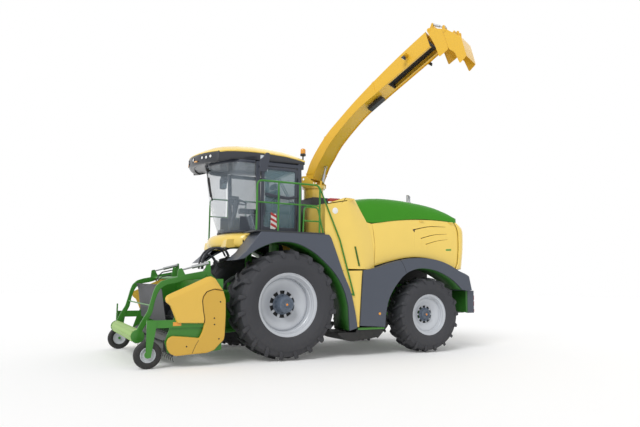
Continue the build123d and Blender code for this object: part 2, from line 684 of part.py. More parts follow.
def hood_shell():
    front = [(1640, 2500), (1700, 2075), (1640, 1640), (1820, 1660), (1788, 2455)]
    shell = side_plate(front, HOOD_X - 40, HOOD_X)
    shell += side_plate([(3845, 2590), (HOOD_REAR_Y, 2590), (HOOD_REAR_Y, 1640), (3885, 1640), (3945, 2065),
                         (3945, 2445)], HOOD_X - 40, HOOD_X)
    shell = twin(shell)
    for y, edge in ((1710, HOOD[0][1]), (HOOD_REAR_Y - SKIN, HOOD[-1][1])):
        shell += block((-HOOD_X, HOOD_X), (y, y + SKIN), (1640, edge))
        shell += twin(block((RAIL_X, RAIL_X + RAIL_W), (y - 40, y + SKIN), (RAIL_Z0 + RAIL_H, 1640)))
    save("hood_shell", shell)


# start and end of each curved louvre in the hood's side doors, and how far its middle rises
LOUVRES = [(2741, 2411, 3567, 2500, 38), (2934, 2247, 3591, 2357, 22), (3057, 2132, 3615, 2245, 18)]


def hood_doors():
    for side, word in ((1, "left"), (-1, "right")):
        door = side_plate(HOOD_DOOR, HOOD_X - 40, HOOD_X)
        for y0, z0, y1, z1, rise in LOUVRES:
            y, z = (y0 + y1) / 2, (z0 + z1) / 2 + rise
            groove = ThreePointArc((y0, z0), (y, z), (y1, z1)) + Polyline((y1, z1), (y1, z1 - 24))
            groove += ThreePointArc((y1, z1 - 24), (y, z - 24), (y0, z0 - 24)) + Polyline((y0, z0 - 24), (y0, z0))
            door -= side_form(groove, HOOD_X - GROOVE_DEPTH, HOOD_X + 1)
        for y in HOOD_HINGES:
            door += long_hinge(y)[1]
        save(f"hood_door_{word}", door if side == 1 else mirror(door, Plane.YZ))


def rear_bumper():
    bumper = side_plate([(3900, 1325), (3900, 900), (4000, 718), (4480, 718), (4537, 800), (4537, 1250),
                         (4480, 1325)], -740, 740)
    bumper -= block((-RAIL_X - RAIL_W, RAIL_X + RAIL_W), (3800, RAIL_REAR + 140), (600, 1400))
    save("rear_bumper", bumper)


def exhaust():
    pipe = post(PIPE_R, 0, PIPE_Y, ENGINE_TOP, 3340)
    pipe -= post(PIPE_R - 8, 0, PIPE_Y, ENGINE_TOP + 300, 3400)
    pipe -= Pos(0, PIPE_Y, 3400) * Rot(-35, 0, 0) * Box(400, 400, 100)
    save("exhaust_pipe", pipe)


def visor():
    """The dark band under the roof cap, deep at the front, with the ceiling plate that rests on the cab."""
    rim = [(y, edge - SEAT_GAP) for y, edge, shoulder, top in ROOF]
    lower = [(567, 3575), (-450, 3572), (-877, 3564), (-1025, 3500), (-1170, 3437), (-1312, 3351), (-1354, 3305),
             (-1497, 3330), (ROOF_FRONT_Y, 3400)]
    band = extrude(roof_plan(VISOR_T) - roof_plan(2 * VISOR_T), 500, dir=(0, 0, 1))
    band = (Pos(0, 0, 3290) * band) & side_plate(rim + lower, -ROOF_X, ROOF_X)
    sheet = side_plate([(-1640, 3491), (-1430, 3574), (537, 3574), (537, 3586), (-1430, 3586), (-1640, 3503)],
                       -ROOF_X, ROOF_X)
    ceiling = (Pos(0, 0, 3400) * extrude(roof_plan(2 * VISOR_T - 1), 400, dir=(0, 0, 1))) & sheet
    rest = block((-CAB_X + 20, CAB_X - 20), (PILLAR_B_Y, CAB_REAR_Y - 10), (CAB_TOP_Z, 3574))
    return band + ceiling + rest


def visor_lamps():
    """Work lamps in a row along the visor's front."""
    lamps = Part()
    for x in (150, 330, 510, 690):
        y = ROOF_FRONT_Y + (ROOF_CORNER_Y - ROOF_FRONT_Y) * (x / ROOF_X) ** 2
        lamps += Solid.make_cylinder(50, 60, Plane((x, y - 8, 3450), z_dir=(0, 1, 0)))
    return twin(lamps)


def cab_fittings():
    beacon = post(55, 700, 588, 3780, 3929) + post(16, 700, 588, 3612, 3780)
    beacon += block((680, 720), (520, 605), (3600, 3612))
    arm = rod((CAB_X, -360, 3450), (1185, -360, 3450), 14)
    mirrors = twin(block((1170, 1200), (-490, -300), (3290, 3660)) + arm)
    save("cab_fittings", visor() + visor_lamps() + beacon + mirrors)


def spout_base():
    base = post(205, 0, SPOUT_Y, SPOUT_BASE_Z, TURN_Z) - post(185, 0, SPOUT_Y, SPOUT_BASE_Z, TURN_Z)
    base += post(240, 0, SPOUT_Y, TURN_Z - 30, TURN_Z) - post(185, 0, SPOUT_Y, TURN_Z - 30, TURN_Z)
    save("spout_base", base)


def spout_turntable():
    half = SPOUT_W / 2
    z0 = TURN_Z + 0.5
    ring = Solid.make_cylinder(240, 40, Plane((0, 0, z0))) - Solid.make_cylinder(185, 40, Plane((0, 0, z0)))
    outline = [(-150, z0 + 10), (150, z0 + 10), (150, z0 + 90), (-40, LIFT_Z + 60), (-150, LIFT_Z + 60)]
    cheek = side_plate(outline, half + SIDE_GAP, half + 20)
    cheek += block((half - 60, half + 20), (-80, 80), (z0, z0 + 40))
    table = ring + twin(cheek)
    table -= disc(STUB_R + RUN_GAP, -half - 30, half + 30, LIFT_R, LIFT_Z)
    y, z = LIFT_PIN_LOW
    gap = LIFT_TUBE_R + 4
    table += twin(side_plate([(y - 35, z0), (y - 25, z + 20), (y + 20, z + 20), (y + 20, z - 20), (y, z0)],
                             gap, gap + EAR_T))
    table += disc(PIN_R, -gap - EAR_T, gap + EAR_T, y, z)
    save("spout_turntable", on_spout(table))


# outline of the spout in its own plane: distance from the pivot, height
SPOUT_TOP = [(-84, 3440), (19, 3723), (166, 3979), (439, 4329), (748, 4618), (1099, 4924), (1543, 5270),
             (2050, 5640), (2605, 6010)]
SPOUT_BOTTOM = [(125, 3440), (236, 3700), (367, 3895), (534, 4138), (843, 4455), (1181, 4745), (1597, 5010),
                (2130, 5345), (2700, 5700)]


def spout_face(inset):
    """The spout from the side: two long curves that run from the turntable to the flaps."""
    def moved(points, way):
        out = []
        for n, (y, z) in enumerate(points):
            before, after = points[max(n - 1, 0)], points[min(n + 1, len(points) - 1)]
            along = Vector(after[0] - before[0], after[1] - before[1]).normalized()
            out.append((y + way * inset * along.Y, z - way * inset * along.X))
        return out
    top, bottom = moved(SPOUT_TOP, 1), moved(SPOUT_BOTTOM, -1)
    return make_face(bend(*top) + bend(*bottom) + Polyline(top[-1], bottom[-1]) + Polyline(top[0], bottom[0]))


def spout_arm():
    half = SPOUT_W / 2
    inside = half - SPOUT_WALL
    face = Plane.YZ.offset(-half) * spout_face(0)
    inner = Plane.YZ.offset(-half) * spout_face(SPOUT_WALL)
    arm = extrude(face, SPOUT_W, dir=(1, 0, 0))
    arm -= Pos(SPOUT_WALL, 0, 0) * extrude(inner, SPOUT_W - 2 * SPOUT_WALL, dir=(1, 0, 0))
    arm -= side_plate([(-70, 3430), (110, 3430), (125, 3470), (-50, 3470)], -inside, inside)
    arm -= side_plate([(1720, 5160), (2640, 5740), (2740, 5640), (1820, 4980)], -inside, inside)
    arm -= side_plate([(2580, 5960), (2640, 6010), (2760, 5700), (2660, 5660)], -inside, inside)
    arm += twin(rod((inside, LIFT_R, LIFT_Z), (half + 24, LIFT_R, LIFT_Z), STUB_R))
    arm += twin(side_plate([(LIFT_R - 40, LIFT_Z - 40), (LIFT_R + 60, LIFT_Z - 10), (LIFT_R + 80, LIFT_Z + 150),
                            (LIFT_R - 20, LIFT_Z + 60)], inside, half))
    y, z = LIFT_PIN_HIGH
    outline = [(y - 75, z - 40), (y + 20, z - 20), (y + 20, z + 25), (y - 20, z + 90)]
    ear = side_plate(outline, EYE_GAP, EYE_GAP + EAR_T)
    ear += disc(PIN_R, -1, EYE_GAP + EAR_T, y, z)
    arm += twin(ear)
    y, z = FLAP_PIN_LOW
    gap = FLAP_TUBE_R + 4
    outline = [(y - 220, z - 333), (y - 80, z - 233), (y + 20, z - 20), (y + 15, z + 15), (y - 15, z + 15)]
    ear = side_plate(outline, gap, gap + EAR_T)
    ear += disc(PIN_R, -1, gap + EAR_T, y, z)
    arm += twin(ear)
    y, z = FLAP_HINGE
    arm += disc(22, -inside, inside, y, z)
    arm += side_plate([(y - 60, z - 50), (y - 50, z - 20), (y, z + 22), (y, z)], -inside, inside)
    arm -= disc(FLAP_PIN_R + RUN_GAP, -inside - 1, inside + 1, y, z)
    save("spout_arm", on_spout(arm))


def feeder_house():
    y0, y1 = HEADER_BACK_Y, FEED_HINGE_Y
    x = FEED_X - 20
    outline = [(y0, 380), (y0, 1060), (y1 - 80, 1180), (y1, 1180), (y1, 560), (y1 - 80, 480)]
    duct = [(y0 - 1, 400), (y0 - 1, 1040), (y1 - 80, 1160), (y1 + 1, 1160), (y1 + 1, 580), (y1 - 80, 500)]
    house = side_plate(outline, -x, x) - side_plate(duct, -x + 40, x - 40)
    pivot = disc(FEED_PIN_R, x - 20, FEED_X + 42, FEED_HINGE_Y, FEED_HINGE_Z)
    y, z = HEADER_PIN_EYE
    pivot += disc(PIN_R, x - 20, RAIL_X + 76, y, z)
    house += twin(pivot)
    save("feeder_house", house)


def header_frame():
    side = [(HEADER_BACK_Y, 1390), (HEADER_BACK_Y, 250), (-1450, 215), (-2060, 230), (-2110, 400), (-2010, 700),
            (-1800, 1150), (-1380, 1390)]
    plate = side_plate(side, HEADER_X - 12, HEADER_X)
    beam = block((HEADER_X, HEADER_X + 30), (GAUGE_Y - 40, -1500), (620, 740))
    fork = side_plate([(GAUGE_Y - 40, 175), (GAUGE_Y + 40, 175), (GAUGE_Y + 120, 740), (GAUGE_Y - 40, 740)],
                      HEADER_X + 30, HEADER_X + 42)
    half = plate + beam + fork
    half -= disc(STUB_R + RUN_GAP, HEADER_X - 13, HEADER_X + 1, AUGER_Y, AUGER_Z)
    half -= disc(STUB_R + RUN_GAP, HEADER_X - 13, HEADER_X + 1, REEL_Y, REEL_Z)
    half += disc(STUB_R, HEADER_X - 92, HEADER_X + 30, GAUGE_Y, GAUGE_R)
    for y, z in ((-1350, 1200), (-1850, 850), (-1400, 330), (-1900, 300)):
        half += disc(28, HEADER_X, HEADER_X + 45, y, z)
    lug = side_plate([(HEADER_BACK_Y - 50, 1380), (HEADER_BACK_Y - 10, 1380), (PRESS_Y + 30, PRESS_Z + 45),
                      (PRESS_Y - 45, PRESS_Z + 45), (PRESS_Y - 45, PRESS_Z - 45)], ROLLER_X + 56, ROLLER_X + 72)
    lug -= disc(STUB_R + RUN_GAP, ROLLER_X + 50, ROLLER_X + 80, PRESS_Y, PRESS_Z)
    frame = twin(half + lug)
    wall = block((-HEADER_X, HEADER_X), (HEADER_BACK_Y - 50, HEADER_BACK_Y), (250, 1390))
    wall -= block((-FEED_X + 60, FEED_X - 60), (HEADER_BACK_Y - 60, HEADER_BACK_Y + 10), (440, 1000))
    frame += wall
    save("header_frame", frame)


# the seam between the covers, seen from the side, from the top corner down
COVER_SEAM = [(-1204, 1205), (-1362, 1223), (-1479, 1183), (-1535, 1105), (-1547, 1000), (-1527, 860), (-1503, 681)]


def cover_outlines():
    """The pointed upper cover, and the hooked one that wraps behind and under it."""
    nose = bend((-2119, 1017), (-2130, 1078), (-2049, 1155))
    crown = bend((-1486, 1416), (-1413, 1431), (-1337, 1391))
    foot = Polyline(COVER_SEAM[-1], (-1934, 691), (-2055, 968), (-2119, 1017))
    upper = make_face(bend(*COVER_SEAM) + foot + nose + Polyline((-2049, 1155), (-1486, 1416)) + crown
                      + Polyline((-1337, 1391), COVER_SEAM[0]))
    seam = [(y + COVER_GAP, z - COVER_GAP) for y, z in COVER_SEAM]
    back = bend(seam[0], (-1155, 1000), (-1152, 802), (-1156, 600), (-1173, 410), (-1230, 290), (-1447, 214))
    toe = bend((-1943, 185), (-2060, 255), (-2095, 395), (-2075, 465), (-2010, 497))
    sill = Polyline((-2010, 497), (-1743, 472), (-1578, 452), seam[-1])
    return upper, make_face(bend(*seam) + back + Polyline((-1447, 214), (-1943, 185)) + toe + sill)


def header_covers():
    place = Plane.YZ.offset(HEADER_X + 45)
    upper, lower = [extrude(place * face, COVER_X - HEADER_X - 45, dir=(1, 0, 0)) for face in cover_outlines()]
    lower -= side_plate([(-1583, 418), (-1639, 336), (-1696, 190), (-1686, 190), (-1629, 336), (-1573, 418)],
                        COVER_X - GROOVE_DEPTH, COVER_X + 1)
    save("header_covers", twin(upper + lower))


def flight(x0, reach, turn):
    """Half a turn of the auger's flight: a flat half ring, tilted so that it moves along by reach."""
    tilt = degrees(atan2(reach, 2 * AUGER_R))
    width = sqrt((2 * AUGER_R) ** 2 + reach ** 2) / 2
    ring = extrude(Plane.XY * (Ellipse(width, AUGER_R)), FLIGHT_T, dir=(0, 0, 1))
    ring = split(ring, bisect_by=Plane.XZ, keep=Keep.TOP)
    half = Rot(0, 90 - tilt, 0) * Pos(0, 0, -FLIGHT_T / 2) * ring
    return Pos(x0 + reach / 2, AUGER_Y, AUGER_Z) * Rot(turn, 0, 0) * half


def auger():
    """The shaft, and two flights that carry the crop from both ends to the middle."""
    side = disc(130, 0, HEADER_X - 18, AUGER_Y, AUGER_Z)
    half_turns = round((HEADER_X - FEED_X - 60) / (FLIGHT_PITCH / 2))
    reach = FLIGHT_PITCH / 2
    for n in range(half_turns):
        side += flight(FEED_X + n * reach, reach, 180 * n)
    for n in range(4):
        side += Pos(0, AUGER_Y, AUGER_Z) * Rot(90 * n, 0, 0) * block((120, 320), (-5, 5), (125, AUGER_R - 60))
    side += disc(STUB_R, 0, HEADER_X, AUGER_Y, AUGER_Z)
    save("auger", twin(side))


def pickup_reel():
    """A drum with bars of spring tines that lean back from the way they turn."""
    reel = disc(150, -REEL_X, REEL_X, REEL_Y, REEL_Z) + disc(STUB_R, -HEADER_X, HEADER_X, REEL_Y, REEL_Z)
    step = 2 * REEL_X / TINE_ROWS
    tine = side_plate([(-8, 140), (8, 140), (-38, REEL_R - 4), (-44, REEL_R - 5)], -4, 4)
    tines = []
    for n in range(TINE_BARS):
        bar = Rot(360 / TINE_BARS * n, 0, 0)
        tines += [Pos(step * (m + 0.5) - REEL_X, REEL_Y, REEL_Z) * bar * tine for m in range(TINE_ROWS)]
        reel += Pos(0, REEL_Y, REEL_Z) * bar * block((-REEL_X, REEL_X), (-14, 14), (140, 172))
    save("pickup_reel", reel.fuse(*tines))


def arm_outline():
    """An arched arm of the press roller, from its pivot over the crop down to the roller's bearing."""
    over = bend((-1763, 1390), (-1915, 1378), (-2049, 1340), (-2195, 1230), (-2262, 1060), (-2285, 960), (-2300, 900))
    under = bend((-2240, 920), (-2205, 1075), (-2150, 1200), (-2000, 1285), (-1763, 1330))
    pivot = Polyline((-1763, 1330), (-1360, 1390), (-1295, 1395), (-1295, 1455), (-1340, 1470), (-1763, 1390))
    foot = bend((-2510, 520), (-2512, 455), (-2460, 420), (-2425, 430), (-2410, 460))
    legs = Polyline((-2300, 900), (-2510, 520)) + Polyline((-2410, 460), (-2330, 640), (-2240, 920))
    return over + under + pivot + foot + legs


def press_frame():
    x0, x1 = ROLLER_X + 10, ROLLER_X + 50
    half = side_form(arm_outline(), x0, x1) + disc(STUB_R, x0, ROLLER_X + 74, PRESS_Y, PRESS_Z)
    half -= disc(20 + RUN_GAP, x0 - 1, x1 + 1, ROLLER_Y, ROLLER_Z)
    frame = twin(half)
    frame += rod((-x0, -2265, 949), (x0, -2265, 949), 35)
    apron = bend((-2230, 1170), (-2130, 1196), (-2067, 1160), (-2050, 1000), (-2018, 661))
    apron += Polyline((-2018, 661), (-2030, 661))
    apron += bend((-2030, 661), (-2062, 1000), (-2077, 1153), (-2130, 1184), (-2230, 1158))
    frame += side_form(apron + Polyline((-2230, 1158), (-2230, 1170)), -x0, x0)
    save("press_frame", frame)


def press_roller():
    """A tube with long bars welded on, and a shaft through it."""
    roller = disc(ROLLER_R - 10, -ROLLER_X, ROLLER_X, ROLLER_Y, ROLLER_Z)
    bar = block((-ROLLER_X, ROLLER_X), (-5, 5), (ROLLER_R - 20, ROLLER_R))
    bars = [Pos(0, ROLLER_Y, ROLLER_Z) * Rot(45 * n, 0, 0) * bar for n in range(8)]
    roller += disc(20, -ROLLER_X - 50, ROLLER_X + 50, ROLLER_Y, ROLLER_Z)
    save("press_roller", roller.fuse(*bars))


def spout_cylinder():
    tube, piston = cylinder_pair(LIFT_PIN_LOW, LIFT_PIN_HIGH, 170, 125, LIFT_TUBE_R, 20, 0)
    save("spout_tube", on_spout(tube))
    save("spout_rod", on_spout(piston))


def spout_flap():
    half = SPOUT_W / 2 + SIDE_GAP + SPOUT_WALL
    inside = half - SPOUT_WALL
    y, z = FLAP_HINGE
    yt, zt = TIP_HINGE
    outline = [(y - 30, z - 20), (y, z + 25), (yt, zt + 18), (3042, 5691), (3060, 5573), (2884, 5460), (2800, 5700)]
    flap = twin(side_plate(outline, inside, half))
    flap += side_plate([(y + 32, z + 2), (y + 32, z + 14), (yt - 26, zt + 22), (yt - 26, zt + 10)], -half, half)
    flap += disc(FLAP_PIN_R, -half, half, y, z)
    ym, zm = FLAP_PIN_HIGH
    ear = side_plate([(ym - 60, zm - 125), (ym - 16, zm + 16), (ym + 16, zm + 16), (ym + 50, zm - 150)],
                     EYE_GAP, EYE_GAP + EAR_T)
    ear += disc(PIN_R, -1, EYE_GAP + EAR_T, ym, zm)
    flap += twin(ear)
    flap += disc(20, -inside, inside, yt, zt)
    flap += side_plate([(yt - 30, zt + 8), (yt - 30, zt + 20), (yt, zt + 20), (yt, zt)], -inside, inside)
    flap -= disc(PIN_R + RUN_GAP, -half - 1, half + 1, yt, zt)
    save("spout_flap", on_spout(flap))


def spout_tip():
    half = SPOUT_W / 2 + 2 * (SIDE_GAP + SPOUT_WALL)
    inside = half - SPOUT_WALL
    yt, zt = TIP_HINGE
    outline = [(yt - 25, zt), (yt + 5, zt + 25), (3305, 5746), (3399, 5373), (3274, 5256), (3177, 5486), (3075, 5560)]
    tip = twin(side_plate(outline, inside, half))
    back = [(yt + 28, zt - 4), (yt + 28, zt + 10), (3305, 5746), (3399, 5373), (3387, 5373), (3296, 5738)]
    tip += side_plate(back, -half, half)
    tip += disc(PIN_R, -half, half, yt, zt)
    save("spout_tip", on_spout(tip))


def flap_cylinder():
    tube, piston = cylinder_pair(FLAP_PIN_LOW, FLAP_PIN_HIGH, 165, 80, FLAP_TUBE_R, 13, 0)
    save("flap_tube", on_spout(tube))
    save("flap_rod", on_spout(piston))


def lift_cylinders():
    x = RAIL_X + RAIL_W / 2
    tube, piston = cylinder_pair(HEADER_PIN_BASE, HEADER_PIN_EYE, 380, 190, 38, 24, x)
    save("lift_tubes", twin(tube))
    save("lift_rods", twin(piston))


wheels()
gauge_wheels()
front_axle()
rear_axle()
knuckles()
main_frame()
frame_crosses()
frame_brackets()
tow_bracket()
engine()
crop_housing()
cab_glass()
cab_body()
cab_door()
cab_roof()
cab_interior()
platforms()
railings()
fenders()
side_panels()
side_boxes()
hood_top()
hood_shell()
hood_doors()
rear_bumper()
exhaust()
cab_fittings()
spout_base()
spout_turntable()
spout_cylinder()
spout_arm()
spout_flap()
spout_tip()
flap_cylinder()
lift_cylinders()
feeder_house()
header_frame()
header_covers()
auger()
pickup_reel()
press_frame()
press_roller()
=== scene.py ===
from math import atan2, cos, hypot, pi, radians, sin

import bpy
from mathutils import Matrix, Vector


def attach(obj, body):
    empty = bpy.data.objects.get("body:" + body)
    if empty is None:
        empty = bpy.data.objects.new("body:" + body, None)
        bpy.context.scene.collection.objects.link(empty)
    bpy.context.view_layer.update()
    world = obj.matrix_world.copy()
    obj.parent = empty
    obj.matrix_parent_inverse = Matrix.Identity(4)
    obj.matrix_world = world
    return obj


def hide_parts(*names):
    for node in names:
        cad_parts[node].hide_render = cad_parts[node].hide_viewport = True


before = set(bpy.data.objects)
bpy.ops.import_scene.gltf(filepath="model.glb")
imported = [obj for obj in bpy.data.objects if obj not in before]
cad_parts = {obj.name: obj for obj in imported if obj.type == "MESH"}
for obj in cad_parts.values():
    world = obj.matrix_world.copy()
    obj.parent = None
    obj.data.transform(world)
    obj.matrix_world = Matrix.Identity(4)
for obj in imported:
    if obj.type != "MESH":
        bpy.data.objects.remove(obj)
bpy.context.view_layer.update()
bpy.ops.object.select_all(action="DESELECT")
scene = bpy.context.scene
scene.view_settings.view_transform = "Standard"


# The studio. A pale floor and an open white surround, with one broad soft lamp high on the machine's left
# front, as an overcast but bright day gives. The camera stands off the left front wheel at eye height.

class Signal:
    """A value on its way through a material's nodes. Sums written on it add the Math nodes."""

    def __init__(self, tree, socket):
        self.tree = tree
        self.socket = socket

    def node(self, kind, settings, sockets, out=0):
        """Adds a node of any other type: first its settings, then the values or links of its sockets."""
        node = self.tree.nodes.new(kind)
        for key, value in settings.items():
            setattr(node, key, value)
        for key, value in sockets.items():
            if isinstance(value, Signal):
                self.tree.links.new(value.socket, node.inputs[key])
            else:
                node.inputs[key].default_value = value
        return Signal(self.tree, node.outputs[out])

    def math(self, operation, first, second):
        return self.node("ShaderNodeMath", {"operation": operation}, {0: first, 1: second})

    def __add__(self, other):
        return self.math("ADD", self, other)

    def __radd__(self, other):
        return self.math("ADD", other, self)

    def __rsub__(self, other):
        return self.math("SUBTRACT", other, self)

    def __mul__(self, other):
        return self.math("MULTIPLY", self, other)

    def __rmul__(self, other):
        return self.math("MULTIPLY", other, self)

    def at_least(self, other):
        return self.math("MAXIMUM", self, other)

    def at_most(self, other):
        return self.math("MINIMUM", self, other)

    def over(self, start, end):
        """0 where the value is at start, 1 where it is at end, and smooth between."""
        return self.node("ShaderNodeMapRange", {"interpolation_type": "SMOOTHSTEP"},
                         {"Value": self, "From Min": start, "From Max": end})

    def noise(self, scale, detail, rough=0.55):
        return self.node("ShaderNodeTexNoise", {}, {"Vector": self, "Scale": scale, "Detail": detail,
                                                    "Roughness": rough})

    def mixed(self, first, second):
        """The first colour where the value is 0, the second where it is 1."""
        return self.node("ShaderNodeMix", {"data_type": "RGBA"}, {0: self, 6: first, 7: second}, 2)


def colour(red, green, blue):
    """A colour as a screen gives it, 0 to 255, in the shader's own scale."""
    shares = [c / 255 for c in (red, green, blue)]
    return (*(c / 12.92 if c <= 0.0404 else ((c + 0.055) / 1.055) ** 2.4 for c in shares), 1)


floor_size = 90
bpy.ops.mesh.primitive_plane_add(size=floor_size)
floor = bpy.context.object
floor.name = "floor"
floor_paint = bpy.data.materials.new("floor_paint")
floor_paint.use_nodes = True
floor_tree = floor_paint.node_tree
floor_shader = floor_tree.nodes["Principled BSDF"]
floor_shader.inputs["Base Color"].default_value = colour(246, 246, 246)
floor_shader.inputs["Roughness"].default_value = 0.9
floor_shader.inputs["Emission Color"].default_value = (1, 1, 1, 1)
floor_shader.inputs["Emission Strength"].default_value = 0.08
floor.data.materials.append(floor_paint)

world = bpy.data.worlds.new("surround")
scene.world = world
world.use_nodes = True
sky_tree = world.node_tree
sky = sky_tree.nodes["Background"]
seen = Signal(sky_tree, sky_tree.nodes.new("ShaderNodeLightPath").outputs["Is Camera Ray"])
path = seen.socket.node
through = Signal(sky_tree, path.outputs["Is Transmission Ray"])
shown = seen.at_least(Signal(sky_tree, path.outputs["Is Glossy Ray"]).at_least(through))
open_light, lit = 1.0, 0.62
sky.inputs["Color"].default_value = (1, 1, 1, 1)
sky_tree.links.new((lit + (open_light - lit) * shown).socket, sky.inputs["Strength"])

for name, energy, spread, turn in (("day", 1.5, 25, (48, 0, 38)), ("far", 0.35, 60, (60, 0, 215))):
    bpy.ops.object.light_add(type="SUN", rotation=[radians(t) for t in turn])
    lamp = bpy.context.object
    lamp.name = name
    lamp.data.energy = energy
    lamp.data.angle = radians(spread)

camera_place = (10.9107, -4.1838, 1.3887)
azimuth, lift, roll = 63.07, 6.26, 0.62
turn = Matrix.Rotation(radians(azimuth), 3, "Z") @ Matrix.Rotation(radians(90 + lift), 3, "X")
turn = turn @ Matrix.Rotation(radians(roll), 3, "Z")
bpy.ops.object.camera_add(location=camera_place, rotation=turn.to_euler())
camera = bpy.context.object
camera.data.sensor_width = 36
camera.data.lens = 33.18
camera.data.shift_x = -0.0022
camera.data.shift_y = 0.0029
camera.data.clip_end = 200
scene.camera = camera


# The frame and axles. Welded steel, sprayed green, with cast knuckles. The frame carries everything else, and
# most of it is hidden behind the wheels and panels.

def finish(name, tint, roughness, metallic=0.0, coat=0.0, dust=0.0, dirt=0.0, grain=0.0, grain_size=300.0,
           mottle=0.05, rub=0.12):
    """One colour with faint shade changes, dust on what faces up, dirt low down and fine grain."""
    material = bpy.data.materials.new(name)
    material.use_nodes = True
    tree = material.node_tree
    shader = tree.nodes["Principled BSDF"]
    place = Signal(tree, tree.nodes.new("ShaderNodeTexCoord").outputs["Object"])
    facing = Signal(tree, tree.nodes.new("ShaderNodeNewGeometry").outputs["Normal"])
    broad = place.noise(1.7, 2.0)
    fine = place.noise(23.0, 4.0, 0.65)
    shade = 1 - mottle + 2 * mottle * broad
    base = place.node("ShaderNodeVectorMath", {"operation": "SCALE"}, {0: tint[:3], "Scale": shade})
    height = place.node("ShaderNodeSeparateXYZ", {}, {0: place}, 2)
    up = facing.node("ShaderNodeSeparateXYZ", {}, {0: facing}, 2)
    settled = (up.over(0.25, 1.0) * dust + (1 - height.over(0.1, 1.1)) * dirt) * fine.over(0.3, 0.75)
    base = settled.at_most(0.85).mixed(base, colour(152, 141, 120))
    tree.links.new(base.socket, shader.inputs["Base Color"])
    rough = (roughness - rub / 2 + rub * fine + 0.4 * settled).at_most(1.0)
    tree.links.new(rough.socket, shader.inputs["Roughness"])
    shader.inputs["Metallic"].default_value = metallic
    shader.inputs["Coat Weight"].default_value = coat
    shader.inputs["Coat Roughness"].default_value = 0.12
    if grain:
        bump = place.node("ShaderNodeBump", {}, {"Strength": grain, "Distance": 0.002,
                                                 "Height": place.noise(grain_size, 2.0)})
        tree.links.new(bump.socket, shader.inputs["Normal"])
    return material


def dress(material, *names):
    """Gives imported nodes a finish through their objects' own slots."""
    for name in names:
        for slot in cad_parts[name].material_slots:
            slot.material = material


axle_green = finish("axle_green", colour(72, 150, 40), 0.34, coat=0.4, dust=0.03, dirt=0.05, grain=0.05)
deep_green = finish("deep_green", colour(50, 124, 28), 0.4, coat=0.15, dust=0.02, dirt=0.05, grain=0.05)
dark_steel = finish("dark_steel", colour(42, 46, 50), 0.5, coat=0.1, dust=0.05, dirt=0.08, grain=0.2,
                    grain_size=120)
black_plastic = finish("black_plastic", colour(30, 31, 33), 0.45, dust=0.03, grain=0.25)
dress(axle_green, "rear_axle", "knuckle_left", "knuckle_right")
dress(deep_green, "main_frame", "frame_crosses", "frame_brackets", "tow_bracket", "railings")
dress(dark_steel, "front_axle", "rear_bumper", "crop_housing", "platforms")
dress(black_plastic, "engine_block")


# The wheels. Black rubber tyres moulded with slanted lugs on both halves of the tread, on pressed steel rims
# with a deep barrel. The front rims are bolted to the planetary hubs, the rear ones to the steered knuckles.

def deselect():
    bpy.ops.object.select_all(action="DESELECT")


def edit(piece):
    """Goes into edit mode on one piece, with the selection it has."""
    deselect()
    bpy.context.view_layer.objects.active = piece
    piece.select_set(True)
    bpy.ops.object.mode_set(mode="EDIT")


def leave():
    bpy.ops.object.mode_set(mode="OBJECT")


def tidy(piece, smooth=30):
    """Merges doubles, turns the faces outwards and smooths what is rounder than the angle."""
    edit(piece)
    bpy.ops.mesh.select_all(action="SELECT")
    bpy.ops.mesh.remove_doubles(threshold=0.00002)
    bpy.ops.mesh.normals_make_consistent(inside=False)
    leave()
    bpy.ops.object.shade_smooth_by_angle(angle=radians(smooth))
    return piece


def skin(name, rows, around=False, ends=False, smooth=30):
    """A grid whose points are moved to the given rows. It may close on itself and have its ends filled."""
    rows = [list(row) + list(row[:1]) * around for row in rows]
    deselect()
    bpy.ops.mesh.primitive_grid_add(x_subdivisions=len(rows[0]) - 1, y_subdivisions=len(rows) - 1)
    piece = bpy.context.object
    piece.name = name
    for vertex, point in zip(piece.data.vertices, [point for row in rows for point in row]):
        vertex.co = point
    if around or ends:
        edit(piece)
        bpy.ops.mesh.select_all(action="SELECT")
        bpy.ops.mesh.remove_doubles(threshold=0.00002)
        if ends:
            bpy.ops.mesh.fill_holes(sides=0)
        leave()
    return tidy(piece, smooth)


def spun(name, outline, centre, steps=64, axis=(1, 0, 0), smooth=30):
    """An outline of (along the axis, radius) points, closed or touching the axis, spun round the axis."""
    deselect()
    bpy.ops.mesh.primitive_circle_add(vertices=len(outline), fill_type="NOTHING")
    piece = bpy.context.object
    piece.name = name
    across = (0, 0, 1) if axis[2] == 0 else (1, 0, 0)
    for vertex, (along, radius) in zip(piece.data.vertices, outline):
        vertex.co = Vector(centre) + along * Vector(axis) + radius * Vector(across)
    edit(piece)
    bpy.ops.mesh.select_all(action="SELECT")
    bpy.ops.mesh.spin(steps=steps, angle=2 * pi, center=centre, axis=axis)
    leave()
    return tidy(piece, smooth)


def copies_round(piece, count, centre):
    """Repeats all of a piece's mesh in a ring round an axle."""
    edit(piece)
    bpy.ops.mesh.select_all(action="SELECT")
    bpy.ops.mesh.spin(steps=count, dupli=True, angle=2 * pi, center=centre, axis=(1, 0, 0))
    leave()
    return tidy(piece)


def joined(name, pieces):
    deselect()
    for piece in pieces:
        piece.select_set(True)
    bpy.context.view_layer.objects.active = pieces[0]
    bpy.ops.object.join()
    pieces[0].name = name
    pieces[0].data.name = name
    return pieces[0]


def other_side(piece, name):
    """A copy with its own mesh on the machine's other side."""
    copy = piece.copy()
    copy.data = piece.data.copy()
    copy.name = name
    bpy.context.collection.objects.link(copy)
    copy.data.transform(Matrix.Scale(-1, 4, (1, 0, 0)))
    copy.data.flip_normals()
    return copy


def both_sides(name, piece):
    """A piece and its mirror image on the machine's other side as one."""
    return joined(name, [piece, other_side(piece, "right")])


